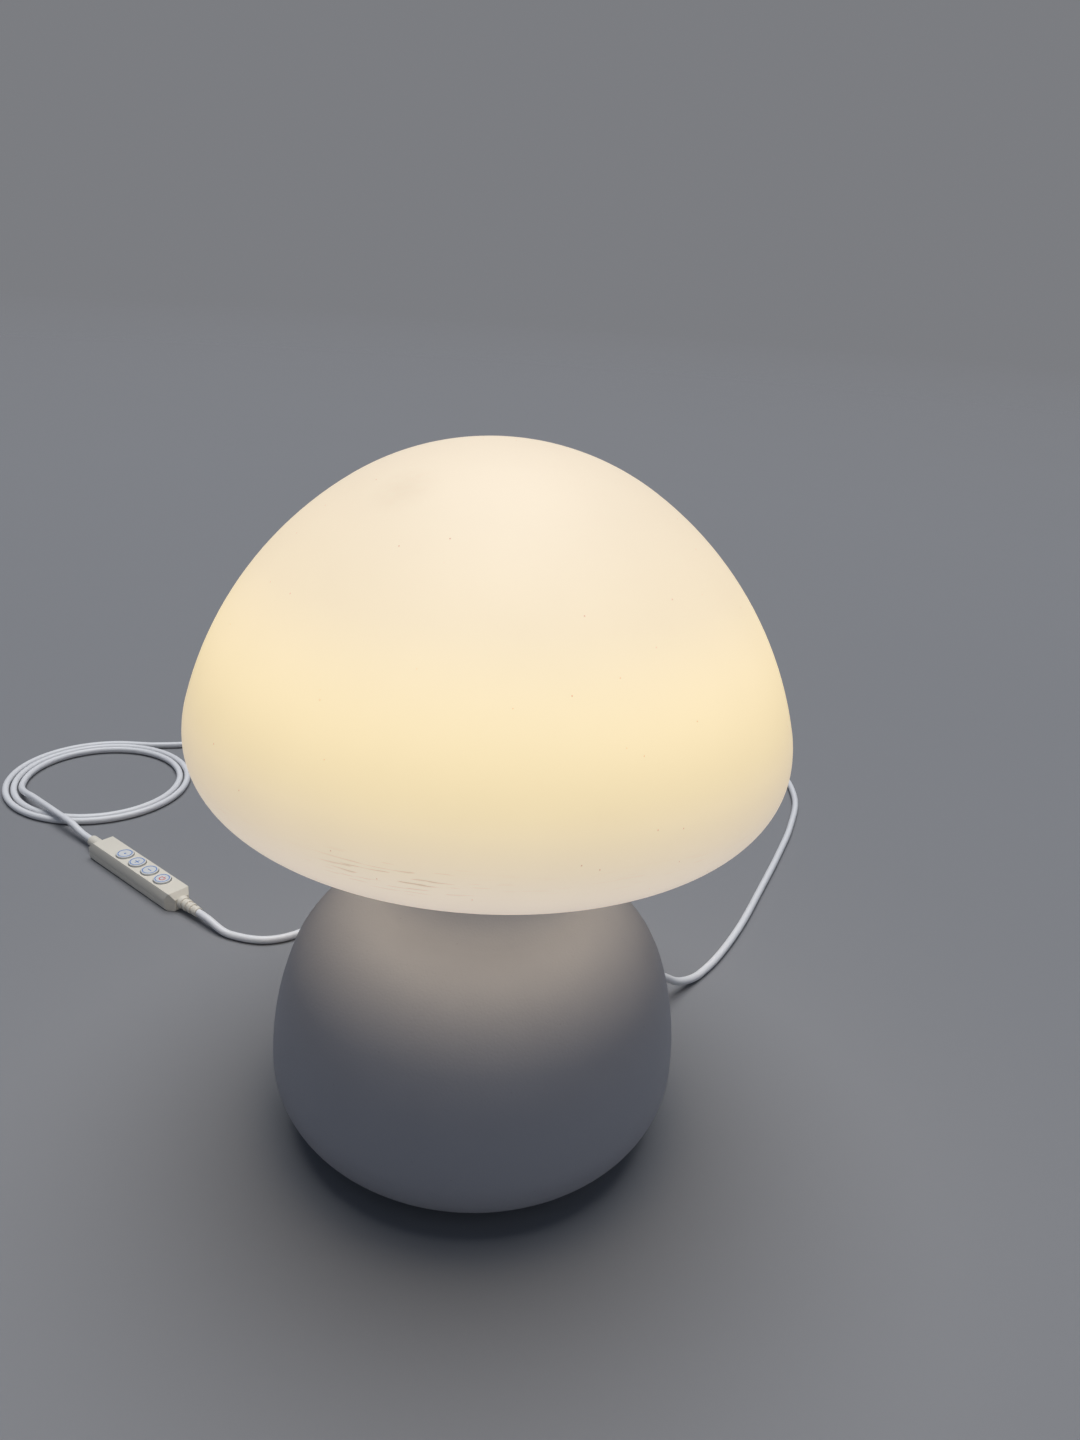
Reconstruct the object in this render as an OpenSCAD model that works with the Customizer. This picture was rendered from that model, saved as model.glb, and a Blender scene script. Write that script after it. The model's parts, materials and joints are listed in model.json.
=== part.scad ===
// Mushroom table lamp: opal cap on a flattened-ball base, with a low-voltage cord,
// an in-line switch box with four buttons, and a flat plug. Millimetres, +Z up,
// origin on the table under the middle of the base, front along -Y.

/* [Shade] */
// Widest diameter of the cap
shade_diameter = 190; // [165:1:230]
// Height of the widest ring above the table
shade_widest_height = 152.6; // [140:0.2:190]
// Radius of the dome at its crown
crown_radius = 84.2; // [72:0.1:95]
// Radius of the wall just above the widest ring
rim_radius = 36; // [24:0.5:60]
// Slope where the crown meets the flank, degrees
crown_slope = 33.4; // [25:0.1:40]
// Slope where the flank meets the widest ring, degrees
flank_slope = 74.7; // [68:0.1:78]
// Radius of the lip that rolls in under the widest ring
lip_radius = 21; // [14:0.5:30]
// Rise of the underside towards the opening, degrees
underside_rise = 10; // [4:1:16]
// Wall thickness of the cap
shade_wall = 2.4; // [1.6:0.1:4]
// Diameter of the opening underneath
shade_opening = 66; // [60:1:72]
// Diameter of the flat land round the opening
seat_land_diameter = 96; // [90:1:108]

/* [Base] */
// Widest diameter of the base
base_diameter = 143; // [110:1:170]
// Height of the shell's foot above the table
foot_height = 2; // [1.4:0.1:4]
// Radius of the corner that rolls under to the table
corner_radius = 25; // [18:0.5:30]
// Radius of the flank above the widest ring
base_flank_radius = 104; // [80:1:140]
// Angle that the flank turns through, degrees
base_flank_angle = 20; // [10:1:30]
// Radius of the shoulder
shoulder_radius = 40; // [30:0.5:55]
// Outside diameter of the neck
neck_diameter = 52; // [44:1:60]
// Radius of the hollow curve between shoulder and neck
neck_fillet = 12; // [6:0.5:20]
// Wall thickness of the base
base_wall = 2.6; // [2:0.1:4]
// Height of the ballast plate
ballast_height = 11; // [6:0.5:13]

/* [Light head] */
// Height of the hub above the gallery
hub_height = 13.6; // [10:0.2:20]
// Number of light chips
led_count = 8; // [4:1:12]
// Side of one light chip
led_size = 5; // [2.8:0.1:5.4]

/* [Cord] */
// Diameter of the cord
cord_diameter = 3.5; // [2.5:0.1:5]
// Direction in which the cord leaves the base, degrees from +X towards +Y
exit_angle = 38; // [20:1:70]
// Clearance of the lead over the ballast plate
lead_clearance = 1.65; // [0.8:0.05:4]
// Full turns of the loose loops
loop_turns = 2; // [1:1:4]
// Outer radius of the loose loops
loop_radius = 50; // [40:1:70]
// Gap from one loop to the next
loop_gap = 0.7; // [0.5:0.1:4]

/* [Switch box] */
// Length of the case
case_length = 70; // [60:1:90]
// Width of the case
case_width = 13; // [12:0.2:18]
// Height of the case
case_height = 9; // [8:0.2:12]
// Distance from one button to the next
button_pitch = 10.6; // [10:0.1:14]
// Diameter of a button
button_diameter = 8.2; // [7:0.1:8.6]
// Height of a button above the face
button_proud = 0.9; // [0.7:0.1:1.4]
// Travel of a button
button_travel = 0.6; // [0.3:0.05:0.6]

/* [Plug] */
// Length of the plug's grip
grip_length = 19; // [15:0.5:30]
// Width of the plug's grip
grip_width = 15.6; // [14:0.2:18]
// Height of the plug's grip
grip_height = 7.4; // [7:0.1:9]

/* [Hidden] */
eps = 0.05;
fit = 0.3;
through = 1;
fine = 96;
small = 32;
arc_step = 3;

// Colours
opal_white = [0.96, 0.92, 0.84];
stone_grey = [0.78, 0.76, 0.74];
cover_grey = [0.60, 0.59, 0.58];
ballast_steel = [0.45, 0.46, 0.48];
screw_steel = [0.75, 0.76, 0.78];
pad_grey = [0.30, 0.30, 0.31];
cord_white = [0.90, 0.90, 0.91];
head_white = [0.93, 0.92, 0.89];
gasket_clear = [0.85, 0.86, 0.86];
spreader_metal = [0.80, 0.81, 0.83];
mask_white = [0.95, 0.95, 0.93];
phosphor = [0.95, 0.83, 0.40];
case_cream = [0.91, 0.88, 0.82];
button_grey = [0.62, 0.66, 0.72];
power_red = [0.72, 0.20, 0.18];
board_green = [0.12, 0.36, 0.20];
part_black = [0.08, 0.08, 0.09];
contact_gold = [0.88, 0.70, 0.30];

// Cap: centres of the four arcs of the wall, as [radius, height]
shade_r = shade_diameter / 2;
flank_run = shade_r - crown_radius * sin(crown_slope) - rim_radius * (1 - sin(flank_slope));
flank_radius = flank_run / (sin(flank_slope) - sin(crown_slope));
shade_rise = crown_radius * (1 - cos(crown_slope))
    + flank_radius * (cos(crown_slope) - cos(flank_slope)) + rim_radius * cos(flank_slope);
shade_top = shade_widest_height + shade_rise;
crown_centre = [0, shade_top - crown_radius];
flank_centre = crown_centre - (flank_radius - crown_radius) * [sin(crown_slope), cos(crown_slope)];
rim_centre = [shade_r - rim_radius, shade_widest_height];
lip_centre = [shade_r - lip_radius, shade_widest_height];
underside_up = [sin(underside_rise), cos(underside_rise)];
underside_in = [-cos(underside_rise), sin(underside_rise)];
lip_end = lip_centre - lip_radius * underside_up;
land_r = seat_land_diameter / 2;
opening_r = shade_opening / 2;
seat_z = lip_end[1] + (lip_end[0] - land_r) * tan(underside_rise);
upstand_height = 8;
upstand_wall = 2;

// Rebate where the underside ring is glued into the lip, as [radius, height]
lap_most = 5;
lap = min(lap_most, (lip_end[0] - land_r) / 2);
rebate_corner = lip_end + shade_wall / 2 * underside_up;
rebate_end = rebate_corner + lap * underside_in;
rebate_top = rebate_end + shade_wall / 2 * underside_up;

// Light head, stacked down from the cap's seat
gasket_height = 1.5;
gasket_margin = 4;
gasket_inner_r = opening_r + gasket_margin;
gasket_outer_r = land_r - gasket_margin;
gallery_height = 3;
gallery_margin = 2;
gallery_r = land_r - gallery_margin;
gallery_top = seat_z - gasket_height;
neck_top = gallery_top - gallery_height;
neck_r = neck_diameter / 2;
neck_bore = neck_r - base_wall;
spigot_r = neck_bore - fit;
spigot_wall = 3.4;
spigot_length = 19;
hub_gap = 3;
hub_r = opening_r - hub_gap;
hub_wall = 2.6;
hub_top = gallery_top + hub_height;
ledge_height = 5.6;
ledge_top = gallery_top + ledge_height;
ledge_width = 13;
ledge_bore = hub_r - ledge_width;
spreader_height = 2.5;
spreader_top = ledge_top + spreader_height;
board_height = 1.6;
board_top = spreader_top + board_height;
head_gap = 0.4;
wire_hole_r = 4;
board_screw_inset = 8;
board_screw_ring = hub_r - board_screw_inset;
board_screw_r = 1.25;
board_screw_head_r = 2.4;
board_screw_head = 1.8;
board_screw_depth = 4;
board_screw_count = 3;
led_inset = 14;
led_ring = hub_r - led_inset;
led_height = 1.5;
connector_size = [8, 6, 4.5];

// Base: centres of the arcs of the wall, as [radius, height]
base_r = base_diameter / 2;
base_widest_height = foot_height + corner_radius;
corner_centre = [base_r - corner_radius, base_widest_height];
base_flank_centre = [base_r - base_flank_radius, base_widest_height];
flank_dir = [cos(base_flank_angle), sin(base_flank_angle)];
shoulder_centre = base_flank_centre + (base_flank_radius - shoulder_radius) * flank_dir;
fillet_x = neck_r + neck_fillet;
fillet_run = shoulder_radius + neck_fillet;
fillet_rise = sqrt(pow(fillet_run, 2) - pow(fillet_x - shoulder_centre[0], 2));
fillet_centre = [fillet_x, shoulder_centre[1] + fillet_rise];
fillet_angle = atan2(fillet_rise, fillet_x - shoulder_centre[0]);
foot_land = 2.5;
cover_r = base_r - corner_radius - foot_land;
cover_height = 1.8;
cover_drop = 0.2;
cover_z = foot_height - cover_drop;
cover_top = cover_z + cover_height;
flange_height = 3;
flange_width = 10;
flange_bore = cover_r - flange_width;
flange_top = cover_top + flange_height;
flange_polar = asin((flange_top - base_widest_height) / (corner_radius - base_wall));
ballast_gap = 1;
ballast_r = flange_bore - ballast_gap;
boss_ring = cover_r - flange_width / 2;
boss_r = 3.6;
boss_roof = 1.4;
cover_screw_count = 3;
cover_screw_r = 1.4;
cover_screw_head_r = 2.9;
cover_screw_head = 1;
cover_screw_length = 9;
boss_top = cover_top + cover_screw_length + boss_roof;
pad_count = 4;
pad_inset = 14;
pad_ring = cover_r - pad_inset;
pad_r = 6;
pad_recess = 0.8;
pad_turn = 45;

// Where the cord leaves the base
cord_r = cord_diameter / 2;
exit_height = cover_top + ballast_height + lead_clearance + cord_r;
exit_dir = [cos(exit_angle), sin(exit_angle), 0];
gland_wall = 3.25;
gland_r = cord_r + gland_wall;
gland_depth = 9.5;
gland_inner = base_r - gland_depth;
gland_collar = 4;
gland_collar_rim = 1.6;
gland_collar_r = gland_r + gland_collar_rim;
gland_shank = 2.5;
gland_shank_end = base_r + gland_shank;
gland_taper = 6;
gland_tip = gland_shank_end + gland_taper;
gland_tip_wall = 1.25;
gland_tip_r = cord_r + gland_tip_wall;
gland_bore_start = gland_inner - gland_collar - through;
gland_bore_end = base_r - gland_shank;
exit_tip = gland_tip * exit_dir + [0, 0, exit_height];
lead_bend = 12;
lead_proud = 3;
lead_top = board_top + lead_proud;
pull_stop_back = 12;
pull_stop_at = gland_inner - pull_stop_back;
pull_stop_length = 5;
pull_stop_wall = 1.85;
pull_stop_r = cord_r + pull_stop_wall;

// Free cord: how high its middle lies, and the points that it passes on the table
lie = cord_r + eps;
straight_run = 6;
// Points chosen by eye from the photograph, [x, y] in millimetres
lamp_drop = [[77, 60], [87, 68]];
lamp_drop_heights = [0.78, 0.32];
lamp_route = [[98, 79], [110, 95], [125, 121], [142, 156], [158, 190], [173, 225], [184, 262],
    [182, 300], [160, 330], [122, 346], [76, 350], [28, 346], [-20, 340], [-68, 333], [-114, 321],
    [-154, 304], [-182, 291]];
loop_middle = [-218, 236];
loop_start = 90;
loop_leave = 229;
loop_step = cord_diameter + loop_gap;
loop_sweep = loop_leave - loop_start + 360 * loop_turns;
loop_inner = loop_radius - loop_step * loop_sweep / 360;
loop_rings = 24;
loop_clearance = 1.1;
loop_lift = cord_diameter + loop_clearance;
loop_rise_from = -30;
loop_rise_to = 4;
loop_fall_from = 40;
loop_fall_to = 54;
tail_length = 62;
tail_ring_step = 7;
case_turn = loop_leave + 90;
case_dir = [cos(case_turn), sin(case_turn)];
case_axis_z = 4.2;
inlet_length = 8;
outlet_length = 13;
tail_start = loop_middle + loop_inner * [cos(loop_leave), sin(loop_leave)];
case_middle = tail_start + (tail_length + inlet_length + case_length / 2) * case_dir;
outlet_tip = case_middle + (case_length / 2 + outlet_length) * case_dir;
plug_route = [[-112, 93], [-95, 90], [-80, 98], [-70, 116], [-62, 142], [-48, 170], [-24, 192],
    [8, 204], [42, 210], [74, 206], [92, 190], [88, 170], [70, 161]];
plug_relief_length = 9;
plug_at = [50, 160, grip_height / 2];
plug_turn = 180;
plug_dir = [cos(plug_turn), sin(plug_turn), 0];
tube_sides = 8;
loop_sides = 6;
route_steps = 2;
echo_samples = 60;
echo_step = 3;
length_steps = 6;

// Switch box
case_wall = 1.2;
case_side_wall = 1.55;
case_end_wall = 2.2;
case_split = case_axis_z;
case_bevel = 2.8;
case_shoulder = case_height - case_bevel;
case_side_bevel = 1.2;
case_face_width = case_width - 2 * case_side_bevel;
case_foot_bevel = 0.8;
case_end_bevel = 2.5;
case_bore = case_width - 2 * case_side_wall;
case_nose = 4.5;
case_nose_width = 7.2;
bore_from = -case_length / 2 + case_end_wall;
bore_to = case_length / 2 - case_nose;
case_roof = 1.2;
button_count = 4;
button_shift = 3.5;
button_hole_gap = 0.3;
button_lap = 0.2;
button_flange_r = button_diameter / 2 + button_hole_gap + button_lap;
button_flange = 1;
button_edge = 0.4;
button_stem_r = 1.6;
button_stem = 0.9;
roof_z = case_height - case_roof;
flange_z = roof_z - fit - button_flange;
rib_x = 20;
rib_width = 1.5;
rib_height = 0.8;
relief_flange = 1.4;
pcb_from = bore_from + relief_flange + fit;
pcb_length = bore_to - relief_flange - fit - pcb_from;
pcb_gap = 0.25;
pcb_width = case_bore - 2 * pcb_gap;
pcb_height = 1.4;
pcb_z = case_wall + rib_height;
pcb_top = pcb_z + pcb_height;
tact_side = 4.6;
tact_height = flange_z - button_stem - button_travel - fit - pcb_top;
chip_size = [6, 4, 1.2];
chip_x = -24;
relief_wall = 1.05;
relief_r = cord_r + relief_wall;
relief_neck_wall = 0.55;
relief_neck_r = cord_r + relief_neck_wall;
relief_lip = 0.6;
relief_flange_r = relief_neck_r + relief_lip;
relief_tip_wall = 0.45;
relief_root_wall = 1.3;
outlet_tip_r = cord_r + relief_tip_wall;
outlet_root_r = cord_r + relief_root_wall;
outlet_ring_count = 3;
outlet_ring_step = 3.2;
outlet_ring_width = 1.4;
outlet_ring_depth = 0.5;

// Plug
shell_length = 13;
shell_width = 12;
shell_height = 4.5;
shell_wall = 0.4;
tongue_length = 11;
tongue_height = 1.9;
contact_count = 4;
contact_pitch = 2.4;
contact_width = 1.1;
contact_length = 8;
contact_height = 0.25;
grip_bevel = 1.2;
plug_tip_r = cord_r + relief_tip_wall;
plug_root_r = cord_r + relief_root_wall;
contact_inset = 1;
window_length = 2.2;
window_width = 2;
window_pitch = 5.4;
window_at = 5.6;

// Helpers for the walls

// Points along an arc about a centre, from one polar angle to another
function arc(centre, radius, from, to) = let (n = ceil(abs(to - from) / arc_step))
    [for (i = [0 : n]) let (a = from + (to - from) * i / n) centre + radius * [cos(a), sin(a)]];

function without_first(list) = [for (i = [1 : len(list) - 1]) list[i]];

// Arcs in a row, each starting where the one before it ends
function chained(arcs) = [for (i = [0 : len(arcs) - 1])
    each (i == 0 ? arcs[i] : without_first(arcs[i]))];

// Repeats its children evenly on a circle
module on_ring(count, radius, turn = 0) {
    for (i = [0 : count - 1])
        rotate(turn + i * 360 / count)
            translate([radius, 0, 0])
                children();
}

// Helpers for the cord

// Point on a smooth curve between p1 and p2
function curve(p0, p1, p2, p3, t) = 0.5 * (2 * p1 + (p2 - p0) * t
    + (2 * p0 - 5 * p1 + 4 * p2 - p3) * t * t + (3 * p1 - p0 - 3 * p2 + p3) * t * t * t);

function lifted(p) = [p[0], p[1], max(p[2], lie)];

// Smooth curve through the points, with a straight run at each end
function smooth_route(points, steps) = let (last = len(points) - 1)
    concat([points[0]], [for (i = [1 : last - 2]) for (k = [0 : steps - 1])
        lifted(curve(points[i - 1], points[i], points[i + 1], points[i + 2], k / steps))],
        [points[last - 1], points[last]]);

function unit(v) = v / norm(v);

function heading(points, i) = let (last = len(points) - 1)
    unit(points[min(i + 1, last)] - points[max(i - 1, 0)]);

function tube_ring(p, along, radius, sides) = let (side = unit(cross([0, 0, 1], along)),
    up = cross(along, side))
    [for (k = [0 : sides - 1]) let (a = 360 * (k + 0.5) / sides)
        p + radius * (cos(a) * side + sin(a) * up)];

// Unbroken tube through the points, with flat ends
module tube(points, radius, sides) {
    last = len(points) - 1;
    rings = [for (i = [0 : last]) each tube_ring(points[i], heading(points, i), radius, sides)];
    start_cap = [for (k = [1 : sides - 2]) [0, k, k + 1]];
    end_cap = [for (k = [1 : sides - 2]) [last * sides, last * sides + k + 1, last * sides + k]];
    walls = [for (i = [0 : last - 1]) for (k = [0 : sides - 1])
        let (a = i * sides + k, b = i * sides + (k + 1) % sides)
        each [[a, a + sides, b], [b, a + sides, b + sides]]];
    polyhedron(points = rings, faces = concat(start_cap, walls, end_cap), convexity = 10);
}

function on_table(points) = [for (p = points) [p[0], p[1], lie]];

function eased(t) = let (c = min(max(t, 0), 1)) c * c * (3 - 2 * c);

// Height of the loops' inner end, which crosses over the outer turns to the switch box
function loop_height(s) = lie
    + loop_lift * eased((s - loop_rise_from) / (loop_rise_to - loop_rise_from))
    - (loop_lift + lie - case_axis_z)
        * eased((s - loop_fall_from) / (loop_fall_to - loop_fall_from));

function loop_point(turned) = let (r = loop_radius - loop_step * turned / 360,
    a = loop_start + turned, s = (turned - loop_sweep) * PI / 180 * loop_inner)
    [loop_middle[0] + r * cos(a), loop_middle[1] + r * sin(a), loop_height(s)];

function tail_point(s) = [tail_start[0] + s * case_dir[0], tail_start[1] + s * case_dir[1],
    loop_height(s)];

function loop_path(per_turn, step) = let (n = ceil(loop_sweep / 360 * per_turn),
    m = ceil(tail_length / step))
    concat([loop_entry, loop_entry - [cord_diameter, 0, 0]],
        [for (i = [0 : n]) loop_point(loop_sweep * i / n)],
        [for (i = [1 : m]) tail_point(tail_length * i / m)]);

loop_entry = [loop_middle[0] + 2 * cord_diameter, loop_middle[1] + loop_radius, lie];
lamp_fall = [for (i = [0 : len(lamp_drop) - 1])
    [lamp_drop[i][0], lamp_drop[i][1], exit_height * lamp_drop_heights[i]]];
lamp_points = concat([exit_tip, exit_tip + straight_run * exit_dir], lamp_fall,
    on_table(lamp_route), [loop_entry + [straight_run, 0, 0], loop_entry]);
outlet_dir = [case_dir[0], case_dir[1], 0];
outlet_start = [outlet_tip[0], outlet_tip[1], case_axis_z];
plug_points = concat([outlet_start, outlet_start + straight_run * outlet_dir],
    on_table(plug_route), [plug_at - straight_run * plug_dir, plug_at]);

// Report of the cord: length of each stretch and the loops' least gap to themselves
function run_length(points) = let (runs = [for (i = [1 : len(points) - 1])
    norm(points[i] - points[i - 1])]) runs * [for (run = runs) 1];
function off_run(p, from, to) = let (along = to - from,
    t = min(max((p - from) * along / (along * along), 0), 1)) norm(p - from - t * along);
gap_path = loop_path(echo_samples, echo_step);
gap_skip = 8;
gap_last = len(gap_path) - 1;
least_gap = min([for (i = [0 : gap_last - gap_skip - 1]) min([for (j = [i + gap_skip : gap_last - 1])
    off_run(gap_path[i], gap_path[j], gap_path[j + 1])])]) - cord_diameter;
echo(lamp_lead_length = run_length(smooth_route(lamp_points, length_steps)));
echo(lead_loops_length = run_length(gap_path));
echo(plug_lead_length = run_length(smooth_route(plug_points, length_steps)));
echo(least_gap_of_loops = least_gap);

// Cap

// Arcs of the cap's wall, from the crown down to the lip, set in from the outside
function cap_arcs(inset) = chained([
    arc(crown_centre, crown_radius - inset, 90, 90 - crown_slope),
    arc(flank_centre, flank_radius - inset, 90 - crown_slope, 90 - flank_slope),
    arc(rim_centre, rim_radius - inset, 90 - flank_slope, 0),
    arc(lip_centre, lip_radius - inset, 0, -90 - underside_rise)]);

module shade() {
    inner = cap_arcs(shade_wall);
    back = [for (i = [len(inner) - 1 : -1 : 0]) inner[i]];
    color(opal_white)
        rotate_extrude($fn = fine)
            polygon(concat(cap_arcs(0), [rebate_corner, rebate_end, rebate_top], back));
}

// Underside of the cap: the seat that rests on the gasket, and the upstand round the opening
module shade_ring() {
    color(opal_white)
        rotate_extrude($fn = fine)
            polygon([lip_end, [land_r, seat_z], [opening_r, seat_z],
                [opening_r, seat_z + upstand_height],
                [opening_r + upstand_wall, seat_z + upstand_height],
                [opening_r + upstand_wall, seat_z + shade_wall],
                [land_r, seat_z + shade_wall / cos(underside_rise)],
                rebate_top, rebate_end, rebate_corner]);
}

// Base

// Outline of the wall: up the outside, over the neck, down the inside to the flange
function base_outline() = concat(chained([
    arc(corner_centre, corner_radius, -90, 0),
    arc(base_flank_centre, base_flank_radius, 0, base_flank_angle),
    arc(shoulder_centre, shoulder_radius, base_flank_angle, fillet_angle),
    arc(fillet_centre, neck_fillet, 180 + fillet_angle, 180)]),
    [[neck_r, neck_top], [neck_bore, neck_top]], chained([
    arc(fillet_centre, neck_fillet + base_wall, 180, 180 + fillet_angle),
    arc(shoulder_centre, shoulder_radius - base_wall, fillet_angle, base_flank_angle),
    arc(base_flank_centre, base_flank_radius - base_wall, base_flank_angle, 0),
    arc(corner_centre, corner_radius - base_wall, 0, flange_polar)]),
    [[flange_bore, flange_top], [flange_bore, cover_top], [cover_r + fit, cover_top],
    [cover_r + fit, foot_height]]);

module base_shell() {
    color(stone_grey)
        difference() {
            union() {
                rotate_extrude($fn = fine)
                    polygon(base_outline());
                on_ring(cover_screw_count, boss_ring)
                    translate([0, 0, flange_top - eps])
                        cylinder(r = boss_r, h = boss_top - flange_top + eps, $fn = small);
            }
            on_ring(cover_screw_count, boss_ring)
                translate([0, 0, cover_top - through])
                    cylinder(r = cover_screw_r + eps, h = cover_screw_length + through, $fn = small);
            rotate(exit_angle)
                translate([gland_inner - gland_collar, 0, exit_height])
                    rotate([0, 90, 0])
                        cylinder(r = gland_r + eps, h = gland_tip - gland_inner, $fn = small);
        }
}

module bottom_cover() {
    color(cover_grey)
        difference() {
            translate([0, 0, cover_z])
                cylinder(r = cover_r, h = cover_height, $fn = fine);
            on_ring(cover_screw_count, boss_ring) {
                translate([0, 0, cover_z - eps])
                    cylinder(r = cover_screw_head_r + fit, h = cover_screw_head + eps, $fn = small);
                translate([0, 0, cover_z])
                    cylinder(r = cover_screw_r + fit, h = 2 * cover_height, $fn = small);
            }
            on_ring(pad_count, pad_ring, pad_turn)
                translate([0, 0, cover_z - eps])
                    cylinder(r = pad_r + fit, h = pad_recess + eps, $fn = small);
        }
}

module ballast_plate() {
    color(ballast_steel)
        translate([0, 0, cover_top])
            cylinder(r = ballast_r, h = ballast_height, $fn = fine);
}

module cover_screws() {
    slot_width = 0.7;
    slot_depth = 0.5;
    color(screw_steel)
        on_ring(cover_screw_count, boss_ring)
            difference() {
                union() {
                    translate([0, 0, cover_z])
                        cylinder(r = cover_screw_head_r, h = cover_screw_head, $fn = small);
                    translate([0, 0, cover_z + cover_screw_head / 2])
                        cylinder(r = cover_screw_r, h = cover_screw_length, $fn = small);
                }
                translate([-cover_screw_head_r, -slot_width / 2, cover_z - eps])
                    cube([2 * cover_screw_head_r, slot_width, slot_depth]);
                translate([-slot_width / 2, -cover_screw_head_r, cover_z - eps])
                    cube([slot_width, 2 * cover_screw_head_r, slot_depth]);
            }
}

module foot_pads() {
    color(pad_grey)
        on_ring(pad_count, pad_ring, pad_turn)
            cylinder(r = pad_r, h = cover_z + pad_recess, $fn = small);
}

// Cord gland, with its axis along the exit direction
module cord_gland() {
    color(cord_white)
        rotate(exit_angle)
            translate([0, 0, exit_height])
                rotate([0, 90, 0])
                    difference() {
                        rotate_extrude($fn = small)
                            polygon([[0, gland_inner - gland_collar],
                                [gland_collar_r, gland_inner - gland_collar],
                                [gland_collar_r, gland_inner], [gland_r, gland_inner],
                                [gland_r, gland_shank_end], [gland_tip_r, gland_tip],
                                [0, gland_tip]]);
                        translate([0, 0, gland_bore_start])
                            cylinder(r = cord_r + eps, h = gland_bore_end - gland_bore_start,
                                $fn = small);
                    }
}

// Stop on the lead that keeps a pull off the light head
module pull_stop() {
    color(part_black)
        rotate(exit_angle)
            translate([pull_stop_at, 0, exit_height])
                rotate([0, 90, 0])
                    difference() {
                        cylinder(r = pull_stop_r, h = pull_stop_length, $fn = small);
                        translate([0, 0, -through])
                            cylinder(r = cord_r + eps, h = pull_stop_length + 2 * through,
                                $fn = small);
                    }
}

// Lead from the gland to the light head
module inner_lead() {
    bend_z = exit_height + lead_bend;
    color(cord_white)
        rotate(exit_angle) {
            translate([lead_bend, 0, exit_height])
                rotate([0, 90, 0])
                    cylinder(r = cord_r, h = gland_bore_end - lead_bend, $fn = small);
            translate([lead_bend, 0, bend_z])
                rotate([-90, 0, 0])
                    rotate([0, 0, 90])
                        rotate_extrude(angle = 90, $fn = small)
                            translate([lead_bend, 0])
                                circle(r = cord_r, $fn = small);
            translate([0, 0, bend_z])
                cylinder(r = cord_r, h = lead_top - bend_z, $fn = small);
        }
}

// Light head

module light_head() {
    color(head_white)
        difference() {
            rotate_extrude($fn = fine)
                polygon([[spigot_r - spigot_wall, neck_top - spigot_length],
                    [spigot_r, neck_top - spigot_length], [spigot_r, neck_top],
                    [gallery_r, neck_top], [gallery_r, gallery_top], [hub_r, gallery_top],
                    [hub_r, hub_top], [hub_r - hub_wall, hub_top], [hub_r - hub_wall, ledge_top],
                    [ledge_bore, ledge_top], [ledge_bore, neck_top + gallery_height / 2],
                    [spigot_r - spigot_wall, neck_top]]);
            on_ring(board_screw_count, board_screw_ring)
                translate([0, 0, ledge_top - board_screw_depth])
                    cylinder(r = board_screw_r + eps, h = board_screw_depth + through, $fn = small);
        }
}

module seat_gasket() {
    color(gasket_clear)
        translate([0, 0, gallery_top])
            difference() {
                cylinder(r = gasket_outer_r, h = gasket_height, $fn = fine);
                translate([0, 0, -through])
                    cylinder(r = gasket_inner_r, h = gasket_height + 2 * through, $fn = fine);
            }
}

module head_disc(radius, height) {
    difference() {
        cylinder(r = radius, h = height, $fn = fine);
        translate([0, 0, -through])
            cylinder(r = wire_hole_r, h = height + 2 * through, $fn = small);
        on_ring(board_screw_count, board_screw_ring)
            translate([0, 0, -through])
                cylinder(r = board_screw_r + fit, h = height + 2 * through, $fn = small);
    }
}

module heat_spreader() {
    color(spreader_metal)
        translate([0, 0, ledge_top])
            head_disc(hub_r - hub_wall - head_gap, spreader_height);
}

module led_board() {
    color(mask_white)
        translate([0, 0, spreader_top])
            head_disc(hub_r - hub_wall - 2 * head_gap, board_height);
}

module led_chips() {
    color(phosphor)
        on_ring(led_count, led_ring, 180 / led_count)
            translate([-led_size / 2, -led_size / 2, board_top])
                cube([led_size, led_size, led_height]);
}

module board_screws() {
    shank = board_top - ledge_top + board_screw_depth - fit;
    color(screw_steel)
        on_ring(board_screw_count, board_screw_ring) {
            translate([0, 0, board_top])
                cylinder(r = board_screw_head_r, h = board_screw_head, $fn = small);
            translate([0, 0, board_top - shank])
                cylinder(r = board_screw_r, h = shank + eps, $fn = small);
        }
}

module board_connector() {
    color(mask_white)
        translate([cord_r + eps, -connector_size[1] / 2, board_top])
            cube(connector_size);
}

// Cord

module lamp_lead() {
    color(cord_white)
        tube(smooth_route(lamp_points, route_steps), cord_r, tube_sides);
}

module lead_loops() {
    color(cord_white)
        tube(loop_path(loop_rings, tail_ring_step), cord_r, loop_sides);
}

module plug_lead() {
    color(cord_white)
        tube(smooth_route(plug_points, route_steps), cord_r, tube_sides);
}

// Switch box, drawn along X from its cord inlet, with its foot on the table

module in_case() {
    translate([case_middle[0], case_middle[1], 0])
        rotate(case_turn)
            children();
}

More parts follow.
